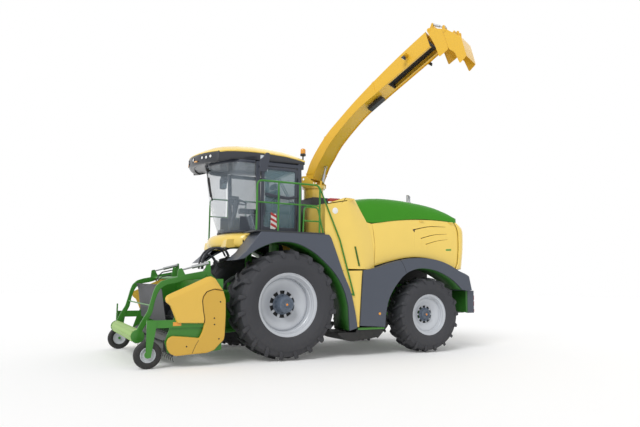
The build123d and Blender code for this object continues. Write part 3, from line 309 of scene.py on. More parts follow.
def paint(piece, material):
    piece.data.materials.clear()
    piece.data.materials.append(material)
    return piece


def mount(piece, body, slot, *nodes):
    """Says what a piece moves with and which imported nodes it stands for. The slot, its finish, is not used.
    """
    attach(piece, body)
    if nodes:
        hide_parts(*nodes)
    return piece


def bolts(name, count, ring, size, height, centre, seat):
    """A ring of hexagon heads with chamfered tops. Seat is how far along the axis they sit."""
    x, y, z = centre
    deselect()
    bpy.ops.mesh.primitive_cylinder_add(vertices=6, radius=size, depth=height, rotation=(0, pi / 2, 0),
                                        location=(x + seat + height / 2, y, z + ring))
    head = bpy.context.object
    head.name = name
    bpy.ops.object.transform_apply(location=True, rotation=True)
    edit(head)
    bpy.ops.mesh.select_all(action="SELECT")
    bpy.ops.mesh.bevel(offset=0.18 * size, segments=1)
    leave()
    return copies_round(head, count, centre)


rubber = finish("rubber", colour(50, 51, 56), 0.66, dust=0.03, dirt=0.05, grain=0.35, grain_size=60,
                mottle=0.12)
rim_paint = finish("rim_paint", colour(188, 192, 198), 0.34, coat=0.3, dirt=0.1, grain=0.06, mottle=0.04)
hub_paint = finish("hub_paint", colour(84, 96, 112), 0.42, coat=0.2, dirt=0.1, grain=0.15, grain_size=80)
cap_paint = finish("cap_paint", colour(226, 140, 40), 0.4, coat=0.2)
shadow_steel = finish("shadow_steel", colour(24, 26, 29), 0.7)

# name, tyre radius, bead radius, width, lugs a half, lug height, wheel centre, and how far out the rim's
# ring, its web and the hub's end lie
WHEELS = [
    ("front", 0.956, 0.531, 0.650, 20, 0.048, (1.178, 0, 0.956), 0.075, 0.0, 0.232),
    ("rear", 0.732, 0.381, 0.540, 18, 0.040, (1.150, 3.070, 0.732), 0.132, 0.066, 0.152),
]
openings = 10
open_share = 0.6
for name, r, bead, width, lugs, lug, centre, ring, web_out, hub_end in WHEELS:
    body = f"wheel_{name}"
    half = width / 2
    tall = r - bead
    wall = [(0.77, 0.0), (0.80, 0.035), (0.86, 0.05), (0.89, 0.09), (0.91, 0.14), (0.955, 0.20),
            (0.985, 0.32), (0.992, 0.335), (0.998, 0.35), (1.0, 0.44), (0.992, 0.55), (0.975, 0.64),
            (0.955, 0.655), (0.945, 0.72)]
    side = [(half * a, bead + tall * b) for a, b in wall]
    side += [(0.9 * half, r - lug - 0.03), (0.72 * half, r - lug - 0.006), (0.36 * half, r - lug)]
    outline = [(-a, b) for a, b in side] + side[::-1]
    x, y, z = centre
    tyre = spun(f"tyre_{name}", outline, centre, 96, smooth=40)
    # how far out along the half width, how far round, radius of the top, radius of the foot, half thickness
    stations = [(-0.03, -0.004, r, r - lug - 0.02, 0.025), (0.25, 0.026, r, r - lug - 0.02, 0.025),
                (0.52, 0.066, r - 0.003, r - lug - 0.03, 0.027),
                (0.78, 0.112, r - 0.011, r - lug - 0.05, 0.031),
                (0.93, 0.140, r - 0.024, r - lug - 0.07, 0.034),
                (0.985, 0.150, r - 0.06, r - lug - 0.09, 0.036),
                (1.0, 0.162, r - 0.26 * tall, r - 0.28 * tall, 0.033),
                (0.99, 0.168, r - 0.36 * tall, r - 0.37 * tall, 0.024)]
    rows = []
    for out, swept, top, foot, thick in stations:
        out, swept, thick = out * half, swept * width / 0.65, thick * width / 0.65
        inward = -0.03 if out > 0.95 * half else 0
        row = []
        for offset, height in ((-1.45, foot), (-1, top - 0.004), (-0.8, top), (0.8, top), (1, top - 0.004),
                               (1.45, foot)):
            turn = (swept + offset * thick) / r
            row.append((x + out + (inward if height == foot else 0), y + height * sin(turn),
                        z + height * cos(turn)))
        rows.append(row)
    bar = skin("bar", rows, around=True, ends=True, smooth=25)
    bars = copies_round(bar, lugs, centre)
    far = bars.copy()
    far.data = bars.data.copy()
    bpy.context.collection.objects.link(far)
    there = Matrix.Translation(centre)
    half_pitch, mirror = Matrix.Rotation(-pi / lugs, 4, "X"), Matrix.Scale(-1, 4, (1, 0, 0))
    far.data.transform(there @ half_pitch @ mirror @ there.inverted())
    far.data.flip_normals()
    tyre = paint(joined(f"tyre_{name}", [tyre, bars, far]), rubber)

    lip = bead + 0.028
    rim_side = [(half * 0.84, lip), (half * 0.86, lip - 0.004), (half * 0.86, lip - 0.014),
                (half * 0.80, lip - 0.02), (half * 0.77, bead - 0.022), (half * 0.66, bead - 0.028),
                (half * 0.62, bead - 0.040), (half * 0.50, bead - 0.044), (half * 0.46, bead - 0.060),
                (ring - 0.02, bead - 0.068), (ring - 0.016, 0.865 * bead), (ring - 0.004, 0.84 * bead),
                (ring, 0.80 * bead), (ring - 0.002, 0.76 * bead), (ring - 0.012, 0.70 * bead),
                (ring - 0.4 * (ring - web_out), 0.62 * bead), (ring - 0.75 * (ring - web_out), 0.55 * bead),
                (web_out + 0.006, 0.49 * bead), (web_out, 0.455 * bead)]
    back = [(web_out - 0.02, 0.455 * bead), (web_out - 0.016, 0.50 * bead), (ring - 0.06, 0.64 * bead),
            (ring - 0.025, 0.78 * bead), (ring - 0.05, 0.85 * bead), (0.0, bead - 0.09),
            (-half * 0.77, bead - 0.035), (-half * 0.84, lip - 0.01), (-half * 0.84, lip),
            (-half * 0.78, bead + 0.006), (half * 0.78, bead + 0.006)]
    rim = spun("rim", rim_side + back, centre, 96, smooth=35)
    hub = 0.32 * bead
    disc = [(web_out - 0.006, 0.46 * bead), (web_out - 0.006, hub), (web_out - 0.018, hub),
            (web_out - 0.018, 0.46 * bead)]
    web = spun("web", disc, centre, 120, smooth=20)
    edit(web)
    bpy.ops.mesh.select_all(action="DESELECT")
    leave()
    for face in web.data.polygons:
        _, fy, fz = face.center - Vector(centre)
        place = (atan2(fz, fy) / (2 * pi) * openings) % 1
        face.select = abs(place - 0.5) < open_share / 2 and hypot(fy, fz) > hub + 0.004
    edit(web)
    bpy.ops.mesh.delete(type="FACE")
    leave()
    rim = paint(joined(f"rim_{name}", [rim, web]), rim_paint)
    # A near-black disc behind the web: painted shade, the dark seen through the web's openings round the hub.
    dark = spun(f"rim_back_{name}", [(web_out - 0.03, 0.5 * bead), (web_out - 0.03, 0.1),
                                     (web_out - 0.036, 0.1), (web_out - 0.036, 0.5 * bead)], centre, 48)
    paint(dark, shadow_steel)
    boss = [(web_out - 0.006, hub + 0.012), (web_out + 0.012, hub + 0.012), (web_out + 0.016, hub + 0.006),
            (web_out + 0.02, 0.9 * hub), (hub_end - 0.042, 0.82 * hub), (hub_end - 0.026, 0.78 * hub),
            (hub_end - 0.018, 0.68 * hub), (hub_end - 0.018, 0.48 * hub), (hub_end - 0.028, 0.45 * hub),
            (hub_end - 0.028, 0.3 * hub), (hub_end - 0.016, 0.26 * hub), (hub_end - 0.01, 0.2 * hub),
            (hub_end - 0.01, 0), (web_out - 0.006, 0)]
    middle = spun("boss", boss, centre, 60, smooth=28)
    studs = bolts("studs", 10, 0.97 * hub, 0.014, 0.024, centre, web_out + 0.014)
    covers = bolts("covers", 12, 0.6 * hub, 0.010, 0.014, centre, hub_end - 0.02)
    hub_piece = paint(joined(f"hub_{name}", [middle, studs, covers]), hub_paint)
    cap = spun(f"cap_{name}", [(hub_end - 0.012, 0.021), (hub_end - 0.005, 0.019), (hub_end - 0.001, 0.012),
                               (hub_end, 0), (hub_end - 0.012, 0)], centre, 24, smooth=40)
    paint(cap, cap_paint)
    for side, pieces in (("left", (tyre, rim, dark, hub_piece, cap)),
                         ("right", [other_side(p, f"{p.name}_right")
                                    for p in (tyre, rim, dark, hub_piece, cap)])):
        for piece in pieces:
            piece.name = piece.name.replace("_right", "") + "_" + side
        mount(pieces[0], f"{body}_{side}", "tyre", f"tyre_{name}_{side}")
        mount(pieces[1], f"{body}_{side}", "silver", f"rim_{name}_{side}")
        for piece, slot in zip(pieces[2:], ("black", "blue_grey", "trim")):
            mount(piece, f"{body}_{side}", slot)


# The fenders. Moulded dark plastic over each wheel, with a rolled edge, a green sheet liner inside, and on
# the front ones a flat deck that the platform stands on.

def bent(points, radius=0.05, steps=4):
    """The same outline with its corners rounded. A corner may carry its own radius as a third number."""
    out = []
    for n, point in enumerate(points):
        here = Vector(point[:2])
        r = point[2] if len(point) > 2 else radius
        before, after = Vector(points[n - 1][:2]), Vector(points[(n + 1) % len(points)][:2])
        a, b = before - here, after - here
        reach = min(r, 0.45 * a.length, 0.45 * b.length)
        if reach < 0.002:
            out.append(tuple(here))
            continue
        a, b = a.normalized() * reach, b.normalized() * reach
        for k in range(steps + 1):
            t = k / steps
            out.append(tuple(here + a * (1 - t) ** 2 + b * t ** 2))
    return out


def cut_sheet(name, outline, start, end, edge=0.008, smooth=30, turn=None):
    """A flat face cut to an outline of (y, z), extruded from one x to another, its edges rounded."""
    deselect()
    bpy.ops.mesh.primitive_circle_add(vertices=len(outline), fill_type="NGON")
    piece = bpy.context.object
    piece.name = name
    for vertex, (y, z) in zip(piece.data.vertices, outline):
        vertex.co = (start, y, z)
    edit(piece)
    bpy.ops.mesh.select_all(action="SELECT")
    bpy.ops.mesh.extrude_region_move(TRANSFORM_OT_translate={"value": (end - start, 0, 0)})
    leave()
    tidy(piece, smooth)
    if turn:
        piece.data.transform(turn)
    return rounded(piece, edge) if edge else piece


def apply(piece, kind, **settings):
    deselect()
    bpy.context.view_layer.objects.active = piece
    piece.select_set(True)
    modifier = piece.modifiers.new(kind.lower(), kind)
    for key, value in settings.items():
        setattr(modifier, key, value)
    bpy.ops.object.modifier_apply(modifier=modifier.name)
    return piece


def rounded(piece, edge, segments=2, angle=35):
    apply(piece, "BEVEL", width=edge, segments=segments, limit_method="ANGLE", angle_limit=radians(angle),
          harden_normals=False)
    bpy.ops.object.shade_smooth_by_angle(angle=radians(40))
    return piece


def arc_points(points, steps=6):
    """A smooth line through points in the plane or in space."""
    out = []
    last = len(points) - 1
    for n in range(last):
        p0, p1, p2, p3 = (Vector(points[max(0, min(last, n + k))]) for k in (-1, 0, 1, 2))
        for k in range(steps):
            t = k / steps
            out.append(tuple(0.5 * (2 * p1 + (p2 - p0) * t + (2 * p0 - 5 * p1 + 4 * p2 - p3) * t ** 2
                                    + (3 * p1 - p0 - 3 * p2 + p3) * t ** 3)))
    return out + [tuple(points[-1])]


def bar_along(name, points, wide, deep, corner=0.25):
    """A bar with rounded corners swept along points, wide across x and deep across its run."""
    rows = []
    points = [Vector(p) for p in points]
    for n, point in enumerate(points):
        run = (points[min(n + 1, len(points) - 1)] - points[max(n - 1, 0)]).normalized()
        side = Vector((0, -run.z, run.y)).normalized()
        across = side.cross(run)
        row = []
        for a, b in ((-1, -1 + corner), (-1 + corner, -1), (1 - corner, -1), (1, -1 + corner),
                     (1, 1 - corner), (1 - corner, 1), (-1 + corner, 1), (-1, 1 - corner)):
            row.append(tuple(point + across * (a * wide / 2) + side * (b * deep / 2)))
        rows.append(row)
    return skin(name, rows, around=True, ends=True, smooth=40)


def tube(name, points, radius, sides=12):
    """A round rod or hose swept along points."""
    rows = []
    points = [Vector(p) for p in points]
    side = None
    for n, point in enumerate(points):
        run = (points[min(n + 1, len(points) - 1)] - points[max(n - 1, 0)]).normalized()
        if side is None:
            side = run.orthogonal().normalized()
        side = (side - run * side.dot(run)).normalized()
        other = run.cross(side)
        turns = [2 * pi * k / sides for k in range(sides)]
        rows.append([tuple(point + side * radius * cos(a) + other * radius * sin(a)) for a in turns])
    return skin(name, rows, around=True, ends=True, smooth=40)


def box(name, x, y, z, edge=0.004):
    """A block between three pairs of limits with rounded edges."""
    deselect()
    bpy.ops.mesh.primitive_cube_add(size=1)
    piece = bpy.context.object
    piece.name = name
    for vertex in piece.data.vertices:
        vertex.co = [limits[0] if c < 0 else limits[1] for c, limits in zip(vertex.co, (x, y, z))]
    tidy(piece)
    return rounded(piece, edge) if edge else piece


fender_plastic = finish("fender_plastic", colour(70, 76, 88), 0.42, dust=0.02, dirt=0.03, grain=0.2,
                        grain_size=260)
liner_green = finish("liner_green", colour(34, 92, 24), 0.5, dirt=0.03)
front_arch = arc_points([(1.198, 0.919), (1.128, 1.160), (1.022, 1.367), (0.880, 1.552), (0.713, 1.706),
                         (0.520, 1.856), (0.294, 1.976), (0.090, 2.036), (-0.107, 2.047), (-0.310, 2.018),
                         (-0.494, 1.948), (-0.670, 1.852), (-0.820, 1.740)])
front_deck = [(-0.961, 1.708), (-0.788, 1.864), (-0.640, 2.060), (-0.529, 2.210), (0.790, 2.210),
              (0.833, 2.162)]
front_deck += arc_points([(0.833, 2.162), (0.953, 1.873), (1.100, 1.502), (1.247, 1.188), (1.350, 0.800),
                          (1.396, 0.522)])[1:]
front_outline = front_deck + [(1.230, 0.474)] + front_arch
rear_arch = arc_points([(3.870, 1.227), (3.660, 1.400), (3.405, 1.534), (3.150, 1.615), (2.895, 1.639),
                        (2.720, 1.620), (2.565, 1.567), (2.440, 1.490), (2.351, 1.408), (2.200, 1.225),
                        (2.087, 1.018), (2.030, 0.780), (2.007, 0.526)])
rear_top = arc_points([(1.530, 1.580), (1.805, 1.630), (2.080, 1.716), (2.353, 1.783), (2.600, 1.828),
                       (2.842, 1.842), (3.100, 1.830), (3.351, 1.785), (3.580, 1.708), (3.787, 1.609),
                       (3.960, 1.545), (4.054, 1.496)])
rear_outline = [(1.460, 0.560)] + rear_top + [(4.125, 1.215), (4.040, 1.200)] + rear_arch
front_liner = [(1.232, 0.480)] + front_arch
# name, outline, the run its liner follows, inner and outer x
for name, outline, liner_run, inner, outer in (("front_fenders", front_outline, front_liner, 0.868, 1.448),
                                               ("rear_fenders", rear_outline, rear_arch, 0.905, 1.428)):
    shell = cut_sheet(name, outline, inner, outer, edge=0)
    edit(shell)
    bpy.ops.mesh.select_all(action="DESELECT")
    leave()
    for face in shell.data.polygons:
        face.select = face.normal.x < -0.9
    edit(shell)
    bpy.ops.mesh.inset(thickness=0.022)
    bpy.ops.mesh.extrude_region_move(TRANSFORM_OT_translate={"value": (outer - inner - 0.02, 0, 0)})
    leave()
    rounded(shell, 0.016, 3, 50)
    mount(paint(both_sides(name, shell), fender_plastic), "chassis", "blue_grey", name)
    rows = [[(x, y, z) for x in (inner - 0.02, outer - 0.03)] for y, z in liner_run]
    liner = skin(f"{name}_liner", rows)
    apply(liner, "SOLIDIFY", thickness=0.006, offset=-1)
    mount(paint(both_sides(f"{name}_liner", liner), liner_green), "chassis", "green")


# The body between cab and engine. Pressed yellow sheet: a wall that faces forward, a broad side that rolls
# round to the hood, and a lower tongue down to the step, fixed over the frame with hidden clips.

yellow_paint = finish("yellow_paint", colour(240, 207, 98), 0.3, coat=0.5, dust=0.01, dirt=0.02, grain=0.03)
green_paint = finish("green_gloss", colour(70, 146, 42), 0.28, coat=0.55, dust=0.02, dirt=0.02, grain=0.03)
# height, front edge, crease and rear edge of the side, and how far in the rear edge lies
side_rows = [(2.905, 1.130, 1.180, 1.395, 1.300), (2.780, 0.741, 1.190, 1.470, 1.300),
             (2.660, 0.779, 1.210, 1.560, 1.302), (2.460, 0.856, 1.254, 1.690, 1.304),
             (2.310, 0.908, 1.290, 1.740, 1.306), (2.165, 0.965, 1.329, 1.772, 1.308),
             (1.950, 1.048, 1.392, 1.808, 1.310), (1.780, 1.112, 1.460, 1.824, 1.312),
             (1.600, 1.180, 1.540, 1.836, 1.314)]
side_x = 1.400
rows = []
for z, front, crease, rear, deep in side_rows:
    side = [(side_x, y) for y in (front, front + 0.35 * (crease - front), front + 0.7 * (crease - front),
                                  crease - 0.03)]
    roll = [(side_x - (side_x - deep) * t ** 1.35, crease + (rear - crease) * t)
            for t in (0.0, 0.12, 0.25, 0.4, 0.6, 0.8, 1.0)]
    rows.append([(x, y, z + 0.035 * (y - 0.74) if z > 2.7 else z) for x, y in side + roll])
panel = skin("panel", rows, smooth=24)
wall_y = 0.742
wall = skin("wall", [[(x, wall_y, z) for x in (0.450, 0.700, 1.000, 1.300, 1.400)]
                     for z in (2.785, 2.600, 2.400, 2.215)])
top_rows = [[(x, wall_y + t * 0.60, 2.786 + 0.125 * t) for x in (0.450, 0.800, 1.150, 1.385, 1.400)]
            for t in (0, 0.35, 0.7, 1)]
lid = skin("lid", top_rows)
gusset = [(wall_y, 2.785), (wall_y, 2.215), (0.790, 2.210), (0.834, 2.166), (0.953, 1.873), (1.072, 1.574),
          (1.205, 1.552), (1.180, 1.600), (1.112, 1.780), (1.048, 1.950), (0.965, 2.165), (0.908, 2.310),
          (0.856, 2.460), (0.779, 2.660)]
body_panel = joined("body_panel", [panel, wall, lid])
tidy(body_panel, 20)
apply(body_panel, "SOLIDIFY", thickness=0.016, offset=-1)
bpy.ops.object.shade_smooth_by_angle(angle=radians(20))
gusset_piece = cut_sheet("gusset", gusset, 1.384, 1.400, edge=0.003)
tongue = cut_sheet("tongue", [(1.078, 1.560), (1.524, 1.574), (1.512, 1.480), (1.456, 0.535), (1.400, 0.535),
                              (1.352, 0.800), (1.249, 1.188), (1.102, 1.502)], 1.380, 1.399, edge=0.005)
body_panel = joined("body_panel", [body_panel, gusset_piece, tongue])
mount(paint(both_sides("body_panel", body_panel), yellow_paint), "chassis", "yellow", "side_panels")


# The hood's lid. One green moulding, highest in the middle, that droops and narrows to the rear and meets the
# yellow sides along a shallow curve.

lid_paint = finish("lid_paint", colour(62, 138, 36), 0.52, dust=0.0, grain=0.03)
lid_paint.node_tree.nodes["Principled BSDF"].inputs["IOR"].default_value = 1.22


def between(table, value, column):
    """A column of a table at a value of its first column, straight between the rows."""
    for low, high in zip(table, table[1:]):
        if (value - high[0]) * (high[0] - low[0]) <= 0 or high is table[-1]:
            return low[column] + (high[column] - low[column]) * (value - low[0]) / (high[0] - low[0])


# half width, and where the hood ends there: at the level of the doors and up at the lid's edge
hood_plan = [(1.302, 3.850, 3.660), (1.298, 3.930, 3.740), (1.280, 3.985, 3.805), (1.245, 4.035, 3.865),
             (1.190, 4.080, 3.922), (1.100, 4.135, 3.985), (1.000, 4.180, 4.055), (0.900, 4.208, 4.115),
             (0.800, 4.222, 4.160), (0.600, 4.226, 4.200), (0.300, 4.228, 4.213), (0.0, 4.229, 4.216)]
# place along the machine, the edge's height, then the top's at half widths of 0, 0.3, 0.6, 0.9 and 1.1
lid_lines = [(1.400, 2.620, 2.915, 2.910, 2.905, 2.895, 2.880),
             (1.550, 2.550, 2.960, 2.950, 2.940, 2.930, 2.915),
             (1.700, 2.490, 3.010, 2.995, 2.980, 2.965, 2.950),
             (1.900, 2.497, 3.070, 3.050, 3.030, 3.010, 2.985),
             (2.200, 2.553, 3.125, 3.105, 3.076, 3.036, 3.000),
             (2.600, 2.602, 3.170, 3.138, 3.090, 3.032, 2.985),
             (3.000, 2.630, 3.180, 3.132, 3.072, 3.002, 2.955),
             (3.400, 2.630, 3.162, 3.104, 3.035, 2.960, 2.903),
             (3.700, 2.614, 3.132, 3.070, 2.996, 2.895, 2.812),
             (3.900, 2.602, 3.095, 3.030, 2.948, 2.826, 2.722),
             (4.020, 2.598, 3.055, 2.990, 2.905, 2.772, 2.640),
             (4.120, 2.598, 3.005, 2.945, 2.855, 2.712, 2.610),
             (4.220, 2.598, 2.940, 2.885, 2.790, 2.640, 2.600)]
spans = [0.0, 0.3, 0.6, 0.9, 1.1]
lid_front, lid_foot = 1.400, 2.598
lid_rows = []
shares = [0, 0.03, 0.07, 0.12, 0.18, 0.25, 0.32, 0.40, 0.48, 0.56, 0.64, 0.72, 0.79, 0.85, 0.90, 0.94, 0.97,
          0.99, 1.0]
for step in range(len(shares) + 2):
    t = shares[min(step, len(shares) - 1)]
    half = []
    for x, low in ((0, 0), (0.15, 0), (0.30, 0), (0.45, 0), (0.60, 0), (0.75, 0), (0.90, 0), (1.00, 0),
                   (1.10, 0), (1.17, 0.10), (1.225, 0.27), (1.262, 0.46), (1.285, 0.66), (1.298, 0.84),
                   (1.302, 1.0)):
        y = lid_front + (between(hood_plan, x, 2) - lid_front) * t
        edge = between(lid_lines, y, 1)
        k = next(n for n in range(4) if min(x, 1.1) <= spans[n + 1])
        share = (min(x, 1.1) - spans[k]) / (spans[k + 1] - spans[k])
        top = between(lid_lines, y, 2 + k) * (1 - share) + between(lid_lines, y, 3 + k) * share
        z = top + (edge - top) * low
        if step >= len(shares):
            z = z + (lid_foot - z) * (step - len(shares) + 1) / 2
            y += 0.003
        half.append((x * (1 - 0.035 * max(0.0, (1.9 - y) / 0.5)), y, z))
    lid_rows.append([(-x, y, z) for x, y, z in half[:0:-1]] + half)
lid = skin("hood_lid", lid_rows, smooth=50)
apply(lid, "SOLIDIFY", thickness=0.016, offset=-1)
bpy.ops.object.shade_smooth_by_angle(angle=radians(50))
paint(lid, lid_paint)
mount(lid, "chassis", "green", "hood_top")

# The panel's trim. A bent green grab rail welded to the panel's crease, a white speed disc stuck on near the
# cab, and red lamp bodies screwed to the top behind the cab.

rows = []
for y, z in ((1.357, 2.016), (1.380, 1.920), (1.410, 1.800), (1.448, 1.656)):
    rows.append([(side_x, y - 0.014, z), (1.418, y - 0.012, z), (1.424, y, z), (1.418, y + 0.012, z),
                 (side_x, y + 0.014, z)])
handle = skin("panel_handle", rows, around=True, ends=True, smooth=60)
mount(paint(both_sides("panel_handles", handle), liner_green), "chassis", "green")
disc = spun("speed_disc", [(0, 0), (0, 0.058), (0.002, 0.058), (0.003, 0.056), (0.003, 0)],
            (1.4015, 0.930, 2.662), 36)
sign_white = finish("sign_white", colour(236, 236, 234), 0.4, mottle=0.01)
mount(paint(both_sides("speed_discs", disc), sign_white), "chassis", "trim")
lamps = []
for y, length in ((0.965, 0.230), (1.290, 0.060)):
    back, front, run = y + length / 2, y - length / 2, y - wall_y
    lamp_line = [(front, 2.800 + 0.208 * run), (front, 2.880 + 0.10 * run), (back, 2.895 + 0.06 * run),
                 (back, 2.800 + 0.208 * run)]
    lamps.append(cut_sheet("top_lamp", bent(lamp_line, 0.018), 1.240, 1.330, edge=0.010))
lamp_red = finish("lamp_red", colour(170, 40, 36), 0.24, coat=0.6, mottle=0.02)
lamps = joined("top_lamps", lamps)
mount(paint(both_sides("top_lamps", lamps), lamp_red), "chassis", "trim")

# The low tanks between the wheels. Black plastic mouldings, strapped under the frame on short posts, each
# with a green ribbed step screwed on top.

tank_side = [(1.900, 0.340), (1.990, 0.430), (1.990, 0.496), (1.412, 0.496), (1.400, 0.440), (1.010, 0.440)]
tank_side += arc_points([(1.010, 0.440), (1.090, 0.365), (1.180, 0.312), (1.265, 0.285), (1.349, 0.277)])
tank = cut_sheet("tank", bent(tank_side, 0.012, 2), 0.560, 1.378, edge=0.014)
straps = []
for y in (1.480, 1.800):
    straps.append(box("strap", (1.376, 1.382), (y - 0.014, y + 0.014), (0.330, 0.470), 0.002))
post = box("tank_post", (0.560, 0.700), (1.640, 1.760), (0.496, 1.160), 0.006)
arm = box("tank_arm", (0.510, 0.700), (1.640, 1.760), (1.100, 1.160), 0.006)
tank = joined("tank", [tank, post, arm] + straps)
tank_black = finish("tank_black", colour(20, 21, 23), 0.5, dust=0.02, dirt=0.05, grain=0.2)
mount(paint(both_sides("tanks", tank), tank_black), "chassis", "black", "side_boxes")
step = [box("step", (1.100, 1.400), (1.430, 2.006), (0.500, 0.512), 0.003),
        box("step_edge", (1.388, 1.400), (1.430, 2.006), (0.486, 0.520), 0.003)]
for n in range(9):
    step.append(box("tread", (1.120, 1.384), (1.470 + n * 0.062, 1.482 + n * 0.062), (0.511, 0.517), 0.002))
step = joined("step", step)
mount(paint(both_sides("steps", step), green_paint), "chassis", "green")

# The fenders' trim. A seam where the rear fender's front leg is joined, an amber side marker set into it, and
# behind it a green splash sheet with a dark plate that carries the tail lamps.

line = arc_points([(1.4285, 2.351, 1.795), (1.4285, 2.400, 1.740), (1.4285, 2.450, 1.660),
                   (1.4285, 2.497, 1.544)], 4)
fender_seam = bar_along("fender_seam", line, 0.002, 0.008, corner=0.4)
mount(paint(both_sides("fender_seams", fender_seam), shadow_steel), "chassis", "black")
marker = spun("side_marker", [(0, 0), (0, 0.026), (0.004, 0.026), (0.008, 0.018), (0.009, 0)],
              (1.4275, 1.886, 0.773), 24, smooth=50)
lamp_amber = finish("lamp_amber", colour(222, 150, 40), 0.22, coat=0.6, mottle=0.02)
mount(paint(both_sides("side_markers", marker), lamp_amber), "chassis", "trim")
plate = joined("lamp_plate", [box("lamp_plate", (1.290, 1.350), (4.070, 4.240), (0.750, 1.205), 0.008),
                              box("lamp_ear", (1.300, 1.340), (4.020, 4.120), (1.180, 1.220), 0.004)])
mount(paint(both_sides("lamp_plates", plate), fender_plastic), "chassis", "blue_grey")
splash = [box("splash", (0.905, 1.345), (4.030, 4.040), (0.760, 1.220), 0.003),
          box("splash_edge", (1.335, 1.350), (4.020, 4.066), (0.760, 1.220), 0.003)]
splash = joined("splash", splash)
mount(paint(both_sides("splashes", splash), liner_green), "chassis", "green")
tail_lights = []
for z, tall in ((0.800, 0.060), (0.940, 0.090), (1.060, 0.090)):
    tail_lights.append(box("tail_light", (1.296, 1.344), (4.238, 4.252), (z - tall / 2, z + tall / 2), 0.004))
tail_lights = joined("tail_lights", tail_lights)
mount(paint(both_sides("tail_lights", tail_lights), lamp_red), "chassis", "trim")


# The hood's side doors. Yellow pressed sheet, hung from the lid by two hinges, each with three curved air
# slots under pressed brows, and a crease that runs down from the front of each slot.

def along(points, share):
    """The place a share of the way along a line of points."""
    points = [Vector(p) for p in points]
    lengths = [(b - a).length for a, b in zip(points, points[1:])]
    left = share * sum(lengths)
    for n, length in enumerate(lengths):
        if left <= length or n == len(lengths) - 1:
            return points[n].lerp(points[n + 1], left / length)
        left -= length


def patch(name, low, high, start, end, columns, rows, place):
    """A sheet between four border lines of (y, z). Place puts a point of it into the machine."""
    grid = []
    for j in range(rows + 1):
        t = j / rows
        left, right = along(start, t), along(end, t)
        row = []
        for k in range(columns + 1):
            s = k / columns
            bottom, top = along(low, s), along(high, s)
            corners = (1 - s) * (1 - t) * Vector(low[0]) + s * (1 - t) * Vector(low[-1])
            corners += (1 - s) * t * Vector(high[0]) + s * t * Vector(high[-1])
            point = (1 - t) * bottom + t * top + (1 - s) * left + s * right - corners
            row.append(place(point.x, point.y, s, t))
        grid.append(row)
    return skin(name, grid)


def carved(piece, cutter):
    """Takes a closed cutter's form out of a piece."""
    apply(piece, "BOOLEAN", object=cutter, operation="DIFFERENCE", solver="EXACT")
    bpy.data.objects.remove(cutter, do_unlink=True)
    return piece


def hood_end(x, z):
    """How far back the hood reaches at a half width and height. It leans forward above the doors."""
    lean = max(0.0, (z - 2.40) / 0.198) ** 2
    reach = between(hood_plan, x, 1) * (1 - lean) + between(hood_plan, x, 2) * lean
    return reach - 0.06 * max(0.0, 2.10 - z) / 0.46


def crowned(y, z, s, t):
    wide = hood_plan[0][0]
    for (x0, *_), (x1, *_) in zip(hood_plan, hood_plan[1:]):
        if y > hood_end(x0, z):
            wide = x0 + (x1 - x0) * (y - hood_end(x0, z)) / (hood_end(x1, z) - hood_end(x0, z))
    return (wide - 0.010 * abs(2 * t - 1) ** 5 - 0.006 * abs(2 * s - 1) ** 8, y, z)


door_low = arc_points([(1.850, 1.668), (2.080, 1.734), (2.353, 1.801), (2.600, 1.846), (2.842, 1.862),
                       (3.100, 1.848), (3.351, 1.805), (3.600, 1.724), (3.790, 1.640)])
door_high = arc_points([(1.800, 2.476), (2.300, 2.560), (2.800, 2.606), (3.345, 2.620), (3.790, 2.602)])
door_front = arc_points([(1.850, 1.668), (1.862, 2.070), (1.800, 2.476)])
door_rear = arc_points([(3.790, 1.640), (3.850, 1.740), (3.882, 2.065), (3.872, 2.400), (3.790, 2.602)])
door = patch("hood_door", door_low, door_high, door_front, door_rear, 60, 22, crowned)
apply(door, "SOLIDIFY", thickness=0.026, offset=-1)
for start, middle, end, wide in (((2.741, 2.411), (3.150, 2.492), (3.567, 2.500), 0.030),
                                 ((2.934, 2.247), (3.260, 2.328), (3.591, 2.357), 0.024),
                                 ((3.057, 2.132), (3.330, 2.206), (3.615, 2.245), 0.020)):
    run = arc_points([start, middle, end], 8)
    rows = []
    for n, (y, z) in enumerate(run):
        thin = wide * (1 - 0.75 * n / (len(run) - 1))
        rows.append([(1.310, y, z), (1.284, y, z - 0.1 * thin), (1.284, y, z - 0.6 * thin),
                     (1.310, y, z - thin)])
    carved(door, skin("slot", rows, around=True, ends=True))
rounded(door, 0.003, 2, 40)
# Dark strips set just inside the door's slots: painted shade, the dark of the slots' depth.
darks = []
for start, middle, end, wide in (((2.746, 2.408), (3.150, 2.489), (3.560, 2.498), 0.022),
                                 ((2.940, 2.244), (3.260, 2.325), (3.585, 2.355), 0.017),
                                 ((3.062, 2.129), (3.330, 2.203), (3.609, 2.243), 0.014)):
    run = arc_points([start, middle, end], 8)
    falls = [wide * (1 - 0.7 * n / (len(run) - 1)) for n in range(len(run))]
    darks.append(skin("dark", [[(1.2855, y, z), (1.2855, y, z - fall)] for (y, z), fall in zip(run, falls)]))
slots = joined("door_slots", darks)
apply(slots, "SOLIDIFY", thickness=0.001, offset=0)
paint(slots, shadow_steel)
brows = []
for start, middle, end, wide in (((2.735, 2.414), (3.150, 2.496), (3.572, 2.504), 0.034),
                                 ((2.928, 2.250), (3.260, 2.332), (3.596, 2.361), 0.028),
                                 ((3.051, 2.135), (3.330, 2.210), (3.620, 2.249), 0.024)):
    run = arc_points([start, middle, end], 8)
    rows = []
    for n, (y, z) in enumerate(run):
        fade = 1 - 0.85 * n / (len(run) - 1)
        rows.append([(1.299, y, z + 0.9 * wide * fade + 0.004),
                     (1.303 + 0.003 * fade, y, z + 0.4 * wide * fade + 0.002), (1.304 + 0.005 * fade, y, z),
                     (1.296, y, z - 0.001)])
    brows.append(skin("brow", rows, around=True, ends=True, smooth=50))
